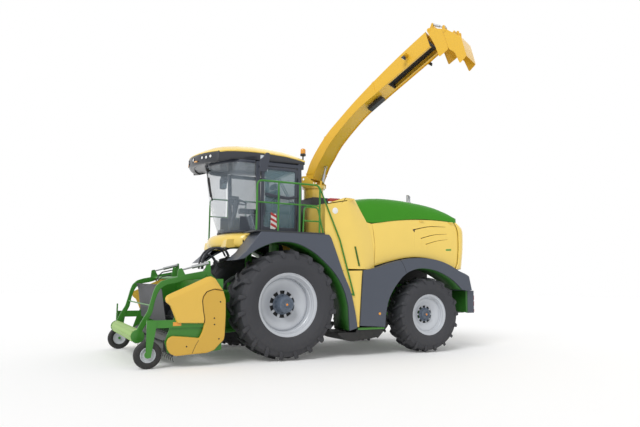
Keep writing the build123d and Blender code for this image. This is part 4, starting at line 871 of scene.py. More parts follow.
for start, end in (((2.760, 2.372), (2.790, 2.020)), ((2.950, 2.212), (2.972, 2.010)),
                   ((3.075, 2.100), (3.092, 1.990))):
    (y0, z0), (y1, z1) = start, end
    rows = []
    for n in range(7):
        t = n / 6
        y, z = y0 + t * (y1 - y0), z0 + t * (z1 - z0)
        wide, deep = 0.024 * (1 - 0.5 * t), 0.007 * (1 - t) ** 0.5
        rows.append([(1.2995, y - wide, z), (1.3025 + deep, y - 0.3 * wide, z), (1.3025 + deep, y, z),
                     (1.2995, y + 0.3 * wide, z)])
    brows.append(skin("crease", rows, around=True, ends=True, smooth=60))
door = paint(joined("hood_door", [door] + brows), yellow_paint)
# A small black triangle on the door where the top slot starts: painted shade under its brow.
slot_mouth_shade = cut_sheet("slot_mouth_shade", [(2.742, 2.410), (2.800, 2.424), (2.778, 2.352)], 1.300, 1.3045, edge=0)
paint(slot_mouth_shade, black_plastic)
tag = cut_sheet("tag", bent([(3.560, 2.010), (3.700, 2.018), (3.700, 2.052), (3.560, 2.044)], 0.012), 1.300,
                1.3035, edge=0)
paint(tag, green_paint)
barrel_line = [(-0.045, 0), (-0.045, 0.0135), (0.045, 0.0135), (0.045, 0)]
hinge_pin = [spun("barrel", barrel_line, (1.312, y, 2.588), 20, (0, 1, 0)) for y in (2.950, 3.700)]
hinge_pin = paint(joined("door_hinges", hinge_pin), yellow_paint)
for side, pieces in (("left", (door, slot_mouth_shade, tag, hinge_pin, slots)),
                     ("right", [other_side(p, p.name + "_right")
                                for p in (door, slot_mouth_shade, tag, hinge_pin, slots)])):
    body = f"hood_door_{side}"
    mount(pieces[0], body, "yellow", body)
    for piece, slot in zip(pieces[1:], ("black", "green", "yellow", "black")):
        mount(piece, body, slot)

# The hood's tail. Yellow sheet wrapped round the rear corners, closed across the middle behind a grille of
# black blades that the radiator breathes through, and screwed to the frame's rear posts.

tail_rows = []
seam = [(z, y + 0.005) for y, z in door_rear]
for z in (1.640, 1.660, 1.760, 1.900, 2.050, 2.200, 2.350, 2.430, 2.480, 2.520, 2.550, 2.575, 2.594):
    start = between(seam, z, 1)
    wide, _, _ = crowned(start, z, 0.5, 0.5)
    line = [(wide - 0.001, start)] + [(x - 0.001, hood_end(x, z)) for x, *_ in hood_plan[:9]
                                      if hood_end(x, z) > start + 0.003]
    tail_rows.append([(*along(line, k / 16), z) for k in range(17)])
tail = skin("hood_tail", tail_rows, smooth=45)
apply(tail, "SOLIDIFY", thickness=0.018, offset=1)
front_strip = cut_sheet("strip", [(1.640, 2.500), (1.700, 2.075), (1.640, 1.640), (1.842, 1.664),
                                  (1.856, 2.070), (1.794, 2.470)], 1.262, 1.298, edge=0.003)
tail = joined("hood_tail", [tail, front_strip])
levels = (2.594, 2.550, 2.500, 2.430, 2.300, 2.100, 1.860, 1.640)
mid = skin("mid", [[(x, hood_end(abs(x), z) - 0.012, z) for x in (-0.790, -0.4, 0, 0.4, 0.790)]
                   for z in levels])
apply(mid, "SOLIDIFY", thickness=0.010, offset=-1)
tail = paint(joined("hood_tail", [tail, other_side(tail, "right"), mid]), yellow_paint)
mount(tail, "chassis", "yellow", "hood_shell")
grille = []
blades, blade_pitch = 14, 0.044
for n in range(blades):
    z = 1.760 + n * blade_pitch
    deep, shallow = hood_end(0.5, z) - 0.030, hood_end(0.5, z) - 0.001
    rows = [[(x, deep, z), (x, shallow, z + 0.008), (x, shallow, z + 0.016), (x, deep, z + 0.008)]
            for x in (-0.740, 0.740)]
    grille.append(skin("blade", rows, around=True, ends=True))
mount(paint(joined("rear_grille", grille), black_plastic), "chassis", "black")

# The exhaust. A bright steel pipe cut off at a slant, in a shroud through the hood, with a flanged foot
# clamped to the engine's silencer below.

steel = finish("steel", colour(180, 182, 184), 0.3, metallic=0.9)
pipe = spun("exhaust", [(0, 0.047), (0.30, 0.047), (0.30, 0.040), (0, 0.040)], (0, 3.560, 3.020), 32,
            (0, 0, 1), 40)
edit(pipe)
bpy.ops.mesh.select_all(action="SELECT")
bpy.ops.mesh.bisect(plane_co=(0, 3.560, 3.300), plane_no=(0, 0.55, 1), clear_outer=True, use_fill=True)
leave()
foot = spun("foot", [(0, 0.068), (0.010, 0.068), (0.018, 0.052), (0.030, 0.048), (0.030, 0.040), (0, 0.040)],
            (0, 3.560, 3.140), 32, (0, 0, 1))
shroud = spun("shroud", [(-0.66, 0.066), (0.0, 0.066), (0.0, 0.05), (-0.66, 0.05)], (0, 3.560, 3.150), 32,
              (0, 0, 1))
mount(paint(joined("exhaust", [pipe, foot, shroud]), steel), "chassis", "chrome", "exhaust_pipe")


# The cab's shell. Welded dark posts carry a curved windscreen, bonded in, that runs round to the door posts.
# The floor and the lower rear wall are closed sheet, and the whole stands over the feeder.

cab_metal = finish("cab_metal", colour(52, 57, 69), 0.42, coat=0.15, dust=0.01, grain=0.06)
visor_black = finish("visor_black", colour(38, 41, 49), 0.36, coat=0.3, dust=0.01, grain=0.06)
# height, front of the windscreen on the middle line, half width at the sides
screen = [(1.950, -0.960, 0.846), (2.100, -0.990, 0.846), (2.240, -0.860, 0.846), (2.262, -0.812, 0.846),
          (2.451, -0.877, 0.848), (2.586, -0.928, 0.848), (2.872, -1.000, 0.848), (3.176, -1.048, 0.848),
          (3.451, -1.080, 0.848), (3.575, -1.088, 0.846)]


def screen_plan(z, inset=0.0, back=-0.445):
    """The windscreen from above at one height, from door post to door post: a bow with round corners."""
    front, half = between(screen, z, 1) + inset, between(screen, z, 2) - inset
    corner = front + 0.340
    bow = [(x, front + 0.300 * (x / 0.80) ** 2) for x in (0.0, 0.1, 0.2, 0.3, 0.4, 0.5, 0.6, 0.68, 0.74)]
    bow += [(half - 0.062, corner - 0.056), (half - 0.030, corner - 0.016), (half - 0.010, corner + 0.022),
            (half, corner + 0.070), (half, 0.6 * corner + 0.4 * back), (half, 0.3 * corner + 0.7 * back),
            (half, back)]
    return [(-x, y, z) for x, y in bow[:0:-1]] + [(x, y, z) for x, y in bow]


glass = finish("glass", colour(168, 182, 194), 0.05, mottle=0.02, rub=0.0)
glass.node_tree.nodes["Principled BSDF"].inputs["Alpha"].default_value = 0.17
side_glass = finish("side_glass", colour(120, 148, 158), 0.05, mottle=0.02, rub=0.0)
side_glass.node_tree.nodes["Principled BSDF"].inputs["Alpha"].default_value = 0.40
pane = skin("windscreen", [screen_plan(z) for z in (2.262, 2.35, 2.451, 2.586, 2.72, 2.872, 3.02, 3.176, 3.32,
                                                    3.451, 3.56)], smooth=60)
apply(pane, "SOLIDIFY", thickness=0.006, offset=-1)
paint(pane, glass)
mount(pane, "chassis", "glass", "cab_glass")
panes = [box("pane", (-0.832, -0.826), (-0.330, 0.430), (2.345, 3.480), 0),
         box("pane", (-0.770, 0.770), (0.464, 0.470), (2.600, 3.480), 0)]
panes = paint(joined("rear_panes", panes), side_glass)
mount(panes, "chassis", "glass")

frame_parts = []
for side in (1, -1):
    front_post = arc_points([(side * 0.822, -0.385, 3.552), (side * 0.824, -0.376, 3.208),
                             (side * 0.822, -0.362, 2.767), (side * 0.820, -0.352, 2.252)], 5)
    rear_post = arc_points([(side * 0.814, 0.452, 3.552), (side * 0.818, 0.460, 3.277),
                            (side * 0.820, 0.468, 2.822), (side * 0.820, 0.462, 2.252)], 5)
    roof_rail = [(side * 0.815, -0.395, 3.520), (side * 0.815, 0.500, 3.520)]
    frame_parts.append(bar_along("post_b", front_post, 0.058, 0.076))
    frame_parts.append(bar_along("post_c", rear_post, 0.068, 0.080))
    frame_parts.append(bar_along("header", roof_rail, 0.066, 0.076))
frame_parts.append(box("rear_top", (-0.845, 0.845), (0.428, 0.540), (3.482, 3.585)))
frame_parts.append(box("rear_wall", (-0.845, 0.845), (0.428, 0.502), (2.252, 2.600)))
frame_parts.append(box("right_sill", (-0.850, -0.772), (-0.398, 0.502), (2.252, 2.350)))
floor_plan = screen_plan(2.262, 0.020) + [(0.840, 0.500, 0), (-0.840, 0.500, 0)]
floor_rows = [[(x, y, z) for x, y, _ in floor_plan] for z in (2.196, 2.252)]
frame_parts.append(skin("floor", floor_rows, around=True, ends=True))
frame_parts.append(bar_along("low_rim", screen_plan(2.268, 0.004), 0.030, 0.034))
frame_parts.append(bar_along("top_rim", screen_plan(3.535, 0.010), 0.040, 0.050))
cab_frame = paint(joined("cab_frame", frame_parts), cab_metal)
mount(cab_frame, "chassis", "blue_grey", "cab_body")

# The nose and the wiper. A yellow moulding under the windscreen, bowed as the glass is, clipped to the floor,
# and a single black wiper that hangs from the roof.

nose_rows = []
for z, push in ((2.236, 0.000), (2.205, -0.105), (2.170, -0.165), (2.120, -0.195), (2.060, -0.205),
                (2.010, -0.200), (1.975, -0.180), (1.958, -0.130)):
    plan = screen_plan(2.262, 0.0, -0.330)
    nose_rows.append([(x, y + push * (1 - ((y + 0.812) / 0.7) ** 2 if y > -0.812 else 1), z)
                      for x, y, _ in plan])
nose = skin("nose", nose_rows, smooth=50)
apply(nose, "SOLIDIFY", thickness=0.018, offset=-1)
under = cut_sheet("under", bent([(-0.920, 1.962), (-0.860, 1.945), (-0.640, 1.985), (-0.480, 2.040),
                                 (-0.334, 2.100), (-0.334, 2.160), (-0.900, 2.100)], 0.02), -0.700, 0.700,
                  edge=0.006)
nose = joined("nose", [nose, under])
seams = []
for side in (0.8475, -0.8475):
    line = [(side, -0.700, 1.990), (side, -0.640, 2.010), (side, -0.480, 2.110), (side, -0.420, 2.200)]
    seams.append(bar_along("nose_seam", line, 0.003, 0.007, corner=0.4))
# Small black patches on the nose's sides: painted shade that stands for holes.
for side in (0.847, -0.847):
    for y, z in ((-0.380, 2.150), (-0.640, 2.070)):
        seams.append(box("hole", (min(side, side * 1.002), max(side, side * 1.002)), (y - 0.011, y + 0.011),
                         (z - 0.024, z + 0.024), 0))
seams = paint(joined("nose_seams", seams), black_plastic)
mount(paint(nose, yellow_paint), "chassis", "yellow")
mount(seams, "chassis", "black")
wiper_line = [(0.02, -1.100, 3.440), (0.04, -1.092, 3.240), (0.09, -1.050, 2.930)]
blade_line = [(0.070, -1.086, 3.30), (0.100, -1.060, 3.08), (0.120, -1.020, 2.86)]
foot_line = [(-0.03, 0), (-0.03, 0.03), (0.006, 0.034), (0.012, 0)]
wiper = [tube("wiper_arm", wiper_line, 0.010, 8), bar_along("wiper_blade", blade_line, 0.012, 0.028),
         spun("wiper_foot", foot_line, (0.02, -1.092, 3.46), 20, (0, 1, 0))]
mount(paint(joined("wiper", wiper), black_plastic), "chassis", "black")


# The door. A tinted pane bonded into a dark welded frame, with a wide belt rail across it and a grab handle
# at its front edge. It hangs at the rear post on two barrels and carries a red and white warning board.

door_parts = []
y0, y1, z0, z1 = -0.312, 0.417, 2.258, 3.472
rim = [(y0, z0), (y1, z0), (y1, z1), (y0, z1)]
outer_line = bent(rim, 0.06, 5)
inner_line = bent([(y0 + 0.05, z0 + 0.09), (y1 - 0.05, z0 + 0.09), (y1 - 0.05, z1 - 0.05),
                   (y0 + 0.05, z1 - 0.05)], 0.05, 5)
rows = []
for (ya, za), (yb, zb) in zip(outer_line + outer_line[:1], inner_line + inner_line[:1]):
    rows.append([(0.812, ya, za), (0.846, ya, za), (0.849, ya * 0.9 + yb * 0.1, za * 0.9 + zb * 0.1),
                 (0.849, yb, zb), (0.812, yb, zb)])
door_parts.append(skin("door_frame", rows, around=True, smooth=40))
belt = arc_points([(0.862, -0.241, 2.962), (0.870, -0.098, 2.930), (0.874, 0.060, 2.914),
                   (0.874, 0.225, 2.903), (0.868, 0.400, 2.945)], 5)
door_parts.append(bar_along("belt", belt, 0.026, 0.052))
door_parts.append(bar_along("handle", [(0.872, -0.262, 2.560), (0.874, -0.262, 2.700),
                                       (0.872, -0.262, 2.800)], 0.024, 0.034))
for z in (2.550, 3.250):
    door_parts.append(spun("barrel", [(-0.05, 0), (-0.05, 0.015), (0.05, 0.015), (0.05, 0)],
                           (0.868, 0.429, z), 20, (0, 0, 1)))
door_frame = paint(joined("door_frame", door_parts), cab_metal)
mount(door_frame, "cab_door", "blue_grey", "cab_door")
door_pane = paint(box("door_pane", (0.826, 0.832), (-0.266, 0.371), (2.344, 3.426), 0), side_glass)
mount(door_pane, "cab_door", "glass")
board_red = finish("board_red", colour(186, 44, 40), 0.4, coat=0.1)
board_white = finish("board_white", colour(228, 228, 226), 0.4, coat=0.1)
board_line = [(-0.118, 2.584), (-0.020, 2.604), (0.006, 2.355), (-0.038, 2.308), (-0.128, 2.319)]
board = paint(cut_sheet("board", board_line, 0.852, 0.856, edge=0), board_white)
stripes = []
for n in range(3):
    low = 2.325 + 0.095 * n
    stripes.append(cut_sheet("stripe", [(-0.124, low + 0.060), (0.000, low), (-0.006, low + 0.048),
                                        (-0.120, low + 0.108)], 0.8562, 0.8572, edge=0))
stripes = paint(joined("board_stripes", stripes), board_red)
mount(board, "cab_door", "trim")
mount(stripes, "cab_door", "trim")


# The roof. A yellow moulded cap, highest over the seat and drawn down to a lip at the front, screwed to the
# cab's posts.

roof_tip, roof_rear, roof_half, roof_sweep = -1.429, 0.563, 0.870, 0.300


def roof_front(x):
    """The roof's front edge at a distance from the middle, swept back towards the sides."""
    return roof_tip + roof_sweep * (x / roof_half) ** 2


# y, edge height, shoulder height, top height
roof_lines = [(roof_tip, 3.672, 3.716, 3.724), (-1.250, 3.676, 3.740, 3.756), (-1.110, 3.678, 3.778, 3.796),
              (-0.984, 3.696, 3.812, 3.832), (-0.740, 3.716, 3.847, 3.872), (-0.458, 3.724, 3.864, 3.891),
              (-0.170, 3.722, 3.858, 3.884), (0.160, 3.705, 3.832, 3.856), (0.413, 3.670, 3.785, 3.804),
              (roof_rear, 3.640, 3.734, 3.748)]
roof_rows = []
for n in range(37):
    t = n / 36
    half = []
    for x in (0, 0.15, 0.30, 0.45, 0.58, 0.68, 0.76, 0.82, 0.855, 0.868):
        y = roof_front(x) + 0.004 + (roof_rear - roof_front(x) - 0.004) * t
        edge, shoulder, top = (between(roof_lines, y, c) for c in (1, 2, 3))
        if x <= 0.6:
            z = top - (top - shoulder) * (x / 0.6) ** 2
        else:
            s = (x - 0.6) / 0.268
            z = shoulder - (shoulder - edge) * (0.55 * s + 0.45 * s ** 3)
        lip = (1 - min(1.0, (y - roof_front(x)) / 0.16)) ** 2
        z = z * (1 - lip) + edge * lip
        half.append((x, y, z - 0.002))
    roof_rows.append([(-x, y, z) for x, y, z in half[:0:-1]] + half)
cap = skin("roof_cap", roof_rows, smooth=50)
apply(cap, "SOLIDIFY", thickness=0.036, offset=-1)
rounded(cap, 0.012, 3, 60)
paint(cap, yellow_paint)
mount(cap, "chassis", "yellow", "cab_roof")

# The visor. A deep black moulding round the roof's front and sides, screwed up under the cap, with a lining
# that closes the cab's ceiling.

# the lower edge round the front by x, and back along the side by y
front_low = [(0.000, 3.492), (0.852, 3.480)]
side_low = [(-1.144, 3.478), (-1.025, 3.491), (-0.877, 3.543), (-0.450, 3.566), (0.567, 3.575)]
stations = [(0.852, 0.552 - k * 0.0848, 1, 0) for k in range(21)]
stations += [(x, roof_front(x) + 0.012, 0.35 * (x / 0.852) ** 2, 1)
             for x in (0.82, 0.76, 0.70, 0.655, 0.62, 0.59, 0.54, 0.46, 0.38, 0.28, 0.18, 0.09, 0.0)]
rows = []
for x, y, out_x, out_y in stations:
    top = between(roof_lines, min(0.56, y), 1) - 0.006
    low = between(front_low, x, 1) if out_y else between(side_low, y, 1)
    tall = top - low
    rows.append([(x, y, top), (x + out_x * 0.008, y - out_y * 0.006, top - 0.22 * tall),
                 (x + out_x * 0.006, y - out_y * 0.003, top - 0.6 * tall),
                 (x - out_x * 0.006, y + out_y * 0.020, top - 0.9 * tall),
                 (x - out_x * 0.022, y + out_y * 0.055, low),
                 (x - out_x * 0.060, y + out_y * 0.110, low + 0.010)])
visor = skin("visor", rows, smooth=45)
visor = both_sides("visor", visor)
tidy(visor, 45)
apply(visor, "SOLIDIFY", thickness=0.012, offset=-1)
rear_band = box("rear_band", (-0.850, 0.850), (0.545, 0.560), (3.578, 3.660))
ceiling_rows = []
for n in range(15):
    t = n / 14
    row = [(x, (roof_front(x) + 0.080) * (1 - t) + 0.545 * t)
           for x in (-0.830, -0.6, -0.3, 0, 0.3, 0.6, 0.830)]
    ceiling_rows.append([(x, y, 3.500 + 0.072 * min(1.0, max(0.0, (y - roof_front(x) - 0.08) / 0.35)))
                         for x, y in row])
ceiling = skin("ceiling", ceiling_rows)
apply(ceiling, "SOLIDIFY", thickness=0.010, offset=1)
visor = paint(joined("visor", [visor, rear_band, ceiling]), visor_black)
mount(visor, "chassis", "black", "cab_fittings")

# The work lamps. Small round lamps with black bodies and clear faces, set into the visor, and two amber
# flashers.

lamp_white = finish("lamp_white", colour(238, 238, 236), 0.16, coat=0.6, mottle=0.02)
shells, lights = [], []
for x, z, size in ((0.465, 3.588, 0.8), (0.575, 3.582, 0.8), (0.675, 3.590, 0.8), (0.150, 3.590, 1.0)):
    y = roof_front(x)
    slope = Matrix.Rotation(atan2(2 * roof_sweep * x / roof_half ** 2, 1), 4, "Z")
    shell = spun("lamp_shell", [(0.040, 0), (0.040, 0.044), (-0.002, 0.047), (-0.006, 0.042), (0.000, 0.039),
                                (0.006, 0)], (0, 0, 0), 28, (0, 1, 0))
    light = spun("lamp_light", [(0.006, 0.038), (-0.003, 0.030), (-0.006, 0)], (0, 0, 0), 28, (0, 1, 0), 60)
    for piece, pile in ((shell, shells), (light, lights)):
        piece.data.transform(Matrix.Translation((x, y + 0.004, z)) @ slope @ Matrix.Scale(size, 4))
        pile.append(piece)
shells = joined("lamp_shells", shells)
lights = joined("lamp_lights", lights)
mount(paint(both_sides("lamp_shells", shells), black_plastic), "chassis", "black")
mount(paint(both_sides("lamp_lights", lights), lamp_white), "chassis", "trim")
amber_rows = []
for x in (0.20, 0.24, 0.28, 0.32):
    fall = 0.10 * (x - 0.17)
    amber_rows.append([(x, roof_front(x) - 0.001, 3.565 - fall), (x, roof_front(x) - 0.003, 3.535 - fall)])
amber = skin("visor_amber", amber_rows)
apply(amber, "SOLIDIFY", thickness=0.008, offset=-1)
mount(paint(both_sides("visor_amber", amber), lamp_amber), "chassis", "trim")

# The mirrors and the beacon. Dark moulded shells on bent tubes from the door posts, glass to the rear, and an
# amber beacon on a stem bolted to the roof's rear edge.

mirror_line = bent([(-0.372, 3.658), (-0.292, 3.650), (-0.302, 3.520), (-0.350, 3.296), (-0.482, 3.292),
                    (-0.489, 3.520), (-0.420, 3.560)], 0.035)
glasses, arms = [], []
for side in (1, -1):
    arms.append(cut_sheet("mirror", mirror_line, side * 1.172, side * 1.198, edge=0.010))
    arm_run = arc_points([(side * 0.852, -0.362, 3.450), (side * 0.960, -0.366, 3.462),
                          (side * 1.080, -0.372, 3.468), (side * 1.176, -0.392, 3.468)], 4)
    arms.append(tube("mirror_arm", arm_run, 0.013))
    glasses.append(box("mirror_glass", sorted((side * 1.169, side * 1.172)), (-0.470, -0.330), (3.320, 3.600),
                       0))
mount(paint(joined("mirrors", arms), cab_metal), "chassis", "blue_grey")
mirror_face = finish("mirror_face", colour(200, 206, 212), 0.05, metallic=1.0, mottle=0.01, rub=0.0)
mount(paint(joined("mirror_glass", glasses), mirror_face), "chassis", "chrome")

dome = spun("beacon", [(0, 0), (0, 0.048), (0.010, 0.050), (0.070, 0.050), (0.092, 0.044), (0.104, 0.028),
                       (0.109, 0)], (0.700, 0.588, 3.820), 32, (0, 0, 1), 50)
mount(paint(dome, lamp_amber), "chassis", "trim")
stand = [spun("stand", [(0, 0), (0, 0.054), (0.036, 0.054), (0.042, 0.048), (0.042, 0)],
              (0.700, 0.588, 3.780), 32, (0, 0, 1)),
         tube("stem", [(0.700, 0.588, 3.606), (0.700, 0.588, 3.784)], 0.015),
         box("tab", (0.680, 0.720), (0.520, 0.604), (3.600, 3.611), 0.002)]
mount(paint(joined("beacon_stand", stand), black_plastic), "chassis", "black")


# The seat and controls. A sprung seat with an armrest console, the steering column between the pedals, and a
# narrow pillar of displays on the right.

seat_cloth = finish("seat_cloth", colour(44, 50, 64), 0.8, grain=0.3, grain_size=420)
inside_grey = finish("inside_grey", colour(58, 64, 74), 0.6, grain=0.15)
seat_parts = []
for name, outline, half in (("cushion", [(-0.150, 2.560), (-0.190, 2.640), (-0.120, 2.690), (0.240, 2.670),
                                         (0.330, 2.660), (0.330, 2.560)], 0.245),
                            ("back", [(0.225, 2.680), (0.195, 2.860), (0.215, 3.080), (0.262, 3.170),
                                      (0.336, 3.160), (0.344, 2.680)], 0.228),
                            ("head", [(0.232, 3.180), (0.222, 3.235), (0.262, 3.300), (0.318, 3.286),
                                      (0.322, 3.180)], 0.130)):
    seat_parts.append(cut_sheet(name, bent(outline, 0.05), -half, half, edge=0.028))
for side in (1, -1):
    bolster_line = bent([(0.160, 2.720), (0.150, 2.900), (0.215, 3.080), (0.300, 3.080), (0.300, 2.720)],
                        0.04)
    seat_parts.append(cut_sheet("bolster", bolster_line, side * 0.200, side * 0.240, edge=0.012))
mount(paint(joined("seat", seat_parts), seat_cloth), "chassis", "black", "cab_interior")
inside = [cut_sheet("seat_foot", bent([(-0.060, 2.252), (-0.100, 2.560), (0.300, 2.560), (0.250, 2.252)],
                                      0.03), -0.180, 0.180, edge=0.01),
          box("console", (-0.400, -0.262), (-0.330, 0.300), (2.700, 2.800), 0.02),
          box("console_foot", (-0.380, -0.290), (0.000, 0.250), (2.252, 2.700), 0.02),
          box("display", (-0.470, -0.442), (-0.520, -0.300), (2.880, 3.060), 0.01),
          tube("display_arm", [(-0.456, -0.400, 2.252), (-0.456, -0.410, 2.960)], 0.018),
          tube("column", [(0, -0.640, 2.252), (0, -0.560, 2.560), (0, -0.490, 2.880)], 0.045),
          box("pedals", (-0.200, 0.200), (-0.800, -0.700), (2.252, 2.330), 0.01),
          box("left_console", (0.440, 0.700), (-0.300, 0.340), (2.252, 2.640), 0.05),
          box("lining_left", (0.806, 0.812), (-0.700, -0.420), (2.262, 2.520), 0.002),
          box("lining_right", (-0.830, -0.800), (-0.560, 0.300), (2.262, 2.640), 0.01),
          tube("curtain_a", [(-0.30, 0.46, 3.52), (0.40, 0.46, 2.90)], 0.010),
          tube("curtain_b", [(-0.22, 0.46, 3.52), (0.46, 0.46, 2.92)], 0.008),
          box("rear_shelf", (-0.740, 0.740), (0.300, 0.428), (2.252, 2.860), 0.03)]
hub = spun("wheel_hub", [(-0.03, 0), (-0.03, 0.05), (0.02, 0.055), (0.03, 0.04), (0.03, 0)], (0, 0, 0), 24,
           (0, 0, 1))
ring = spun("wheel_ring", [(0.016 * sin(a), 0.178 + 0.016 * cos(a)) for a in (k * pi / 4 for k in range(8))],
            (0, 0, 0), 40, (0, 0, 1), 60)
spokes = [box("spoke", (0.03, 0.175), (-0.012, 0.012), (-0.006, 0.006)),
          box("spoke", (-0.175, -0.03), (-0.012, 0.012), (-0.006, 0.006)),
          box("spoke", (-0.012, 0.012), (-0.175, -0.03), (-0.006, 0.006))]
steering = joined("steering", [hub, ring] + spokes)
steering.data.transform(Matrix.Translation((0, -0.484, 2.896)) @ Matrix.Rotation(radians(-16), 4, "X"))
mount(paint(joined("controls", inside + [steering]), inside_grey), "chassis", "black")


# The discharge spout. A curved steel channel, painted yellow, hinged on the turntable behind the cab. Its
# yellow is darkened to a mustard as painted shade, for its underside seen from below. Its floor is bolted
# between the sides, and its outer length is open underneath over a dark sheet: a wear liner's dark steel that
# also paints the shade inside.

turntable_y, spout_slew = 1.170, -60
spout_turn = Matrix.Translation((0, turntable_y, 0)) @ Matrix.Rotation(radians(spout_slew), 4, "Z")
spout_top = arc_points([(-0.084, 3.440), (0.019, 3.723), (0.166, 3.979), (0.439, 4.329), (0.748, 4.618),
                        (1.099, 4.924), (1.543, 5.270), (2.050, 5.640), (2.605, 6.010)], 5)
spout_low = arc_points([(0.125, 3.440), (0.236, 3.700), (0.367, 3.895), (0.534, 4.138), (0.843, 4.455),
                        (1.181, 4.745), (1.597, 5.010), (2.130, 5.345), (2.700, 5.700)], 5)


def along_spout(name, stations, profile):
    """A closed profile swept along the spout. Depths are a share of the channel's plus a length."""
    rows = []
    for station in stations:
        n = min(int(station), len(spout_top) - 2)
        top = Vector(spout_top[n]).lerp(Vector(spout_top[n + 1]), station - n)
        low = Vector(spout_low[n]).lerp(Vector(spout_low[n + 1]), station - n)
        down = (low - top).normalized()
        deep = (low - top).length
        rows.append([(x, *(top + (share * deep + extra) * down)) for x, share, extra in profile])
    piece = skin(name, rows, around=True, ends=True, smooth=25)
    piece.data.transform(spout_turn)
    return piece


def spout_strip(name, outline, start, end, edge=0.003):
    return cut_sheet(name, outline, start, end, edge, turn=spout_turn)


turntable_yellow = finish("turntable_yellow", colour(240, 202, 78), 0.3, coat=0.5, dust=0.02, dirt=0.03,
                          grain=0.04)
dress(turntable_yellow, "spout_base", "spout_turntable")
dress(steel, "spout_rod", "flap_rod", "spout_tube", "flap_tube")
spout_end = len(spout_top) - 1
slot_start = 32
spout_half = 0.225
channel_profile = [(-spout_half, 1, 0), (-spout_half, 0, 0.026), (-0.220, 0, 0.009), (-0.206, 0, 0.001),
                   (-0.190, 0, 0), (0.190, 0, 0), (0.206, 0, 0.001), (0.220, 0, 0.009),
                   (spout_half, 0, 0.026), (spout_half, 1, 0), (0.218, 1, 0), (0.218, 0, 0.03),
                   (-0.218, 0, 0.03), (-0.218, 1, 0)]
spout_parts = [along_spout("channel", range(spout_end + 1), channel_profile)]
floor_profile = [(-0.218, 1, -0.022), (0.218, 1, -0.022), (0.218, 1, -0.014), (-0.218, 1, -0.014)]
spout_parts.append(along_spout("spout_floor", range(slot_start + 1), floor_profile))
for way in (1, -1):
    lip = [(way * 0.150, 1, -0.022), (way * 0.218, 1, -0.022), (way * 0.218, 1, -0.014),
           (way * 0.150, 1, -0.014)]
    spout_parts.append(along_spout("slot_lip", range(slot_start, spout_end + 1), lip))
    flange = [(way * 0.224, 1, -0.040), (way * 0.231, 1, -0.036), (way * 0.231, 1, 0.002),
              (way * 0.224, 1, 0.006)]
    spout_parts.append(along_spout("spout_flange", range(3, spout_end + 1), flange))
for start, end in ((14.0, 14.5), (29.2, 29.7), (2.2, 2.6)):
    ring = [(-0.232, 1, 0.006), (-0.232, 0, 0.020), (-0.214, 0, -0.006), (0.214, 0, -0.006),
            (0.232, 0, 0.020), (0.232, 1, 0.006), (0.216, 1, 0.006), (0.216, 0, 0.02), (-0.216, 0, 0.02),
            (-0.216, 1, 0.006)]
    spout_parts.append(along_spout("spout_collar", (start, end), ring))
ear_line = bent([(2.440, 5.885), (2.560, 5.990), (2.655, 6.215), (2.665, 6.238), (2.692, 6.225),
                 (2.690, 6.190), (2.662, 5.985)], 0.02, 3)
ear_hole = bent([(2.540, 5.975), (2.640, 6.140), (2.625, 6.000)], 0.012, 3)
for way in (1, -1):
    ear = spout_strip("ear", ear_line, way * 0.028, way * 0.042, 0.003)
    ear = carved(ear, spout_strip("ear_hole", ear_hole, way * 0.020, way * 0.050, 0))
    spout_parts.append(ear)
for r, z, way in ((2.242, 5.598, 1), (2.500, 5.640, -1)):
    arm_line = [(r - 0.03, z - 0.006), (r + 0.03, z + 0.034), (r + 0.03, z + 0.024), (r - 0.03, z - 0.016)]
    spout_parts.append(spout_strip("lamp_arm", bent(arm_line, 0.003, 2), way * 0.222, way * 0.350, 0.002))
    lamp = spun("spout_lamp", [(-0.020, 0), (-0.026, 0.028), (0.006, 0.044), (0.026, 0.046), (0.030, 0.040),
                               (0.030, 0)], (way * 0.330, r - 0.02, z - 0.050), 28, axis=(0, -0.55, -0.83))
    lens = spun("spout_lens", [(0.029, 0), (0.029, 0.039), (0.034, 0.034), (0.037, 0)],
                (way * 0.330, r - 0.02, z - 0.050), 28, axis=(0, -0.55, -0.83))
    for piece, material, slot in ((lamp, black_plastic, "black"), (lens, lamp_white, "trim")):
        piece.data.transform(spout_turn)
        mount(paint(piece, material), "spout", slot)
# The spout's yellow is a darker mustard than the body's: painted shade, for the underside seen from below.
spout_paint = finish("spout_paint", colour(226, 178, 44), 0.42, coat=0.3, mottle=0.03)
mount(paint(joined("spout_channel", spout_parts), spout_paint), "spout", "spout_yellow", "spout_arm")
# A dark sheet across the channel at half depth, seen through the slot: a wear liner's dark steel, placed to
# paint the shade inside the channel.
liner = along_spout("wear_liner", range(slot_start - 1, spout_end + 1),
                    [(-0.217, 0.55, 0), (0.217, 0.55, 0), (0.217, 0.55, 0.008), (-0.217, 0.55, 0.008)])
liner_shade_rear = along_spout("liner_wall", (slot_start, slot_start + 0.1),
                         [(-0.217, 0.1, 0), (0.217, 0.1, 0), (0.217, 1, -0.022), (-0.217, 1, -0.022)])
mount(paint(joined("wear_liner", [liner, liner_shade_rear]), dark_steel), "spout", "black")
hung_line = bent([(1.300, 4.800), (1.335, 4.735), (1.640, 4.930), (1.610, 4.990)], 0.012, 3)
hung_arm_line = [(1.42, 4.93), (1.50, 4.98), (1.52, 4.90), (1.44, 4.85)]
hung = spout_strip("work_lamp", hung_line, -0.070, 0.070, 0.006)
hung_arm = spout_strip("work_lamp_arm", hung_arm_line, -0.030, 0.030, 0.003)
mount(paint(joined("work_lamp", [hung, hung_arm]), black_plastic), "spout", "black")

# The spout's end flaps. Two folded steel hoods hinged one behind the other, each with side cheeks, a roof, a
# rib and ears for the cylinder and the link that turn them down together.

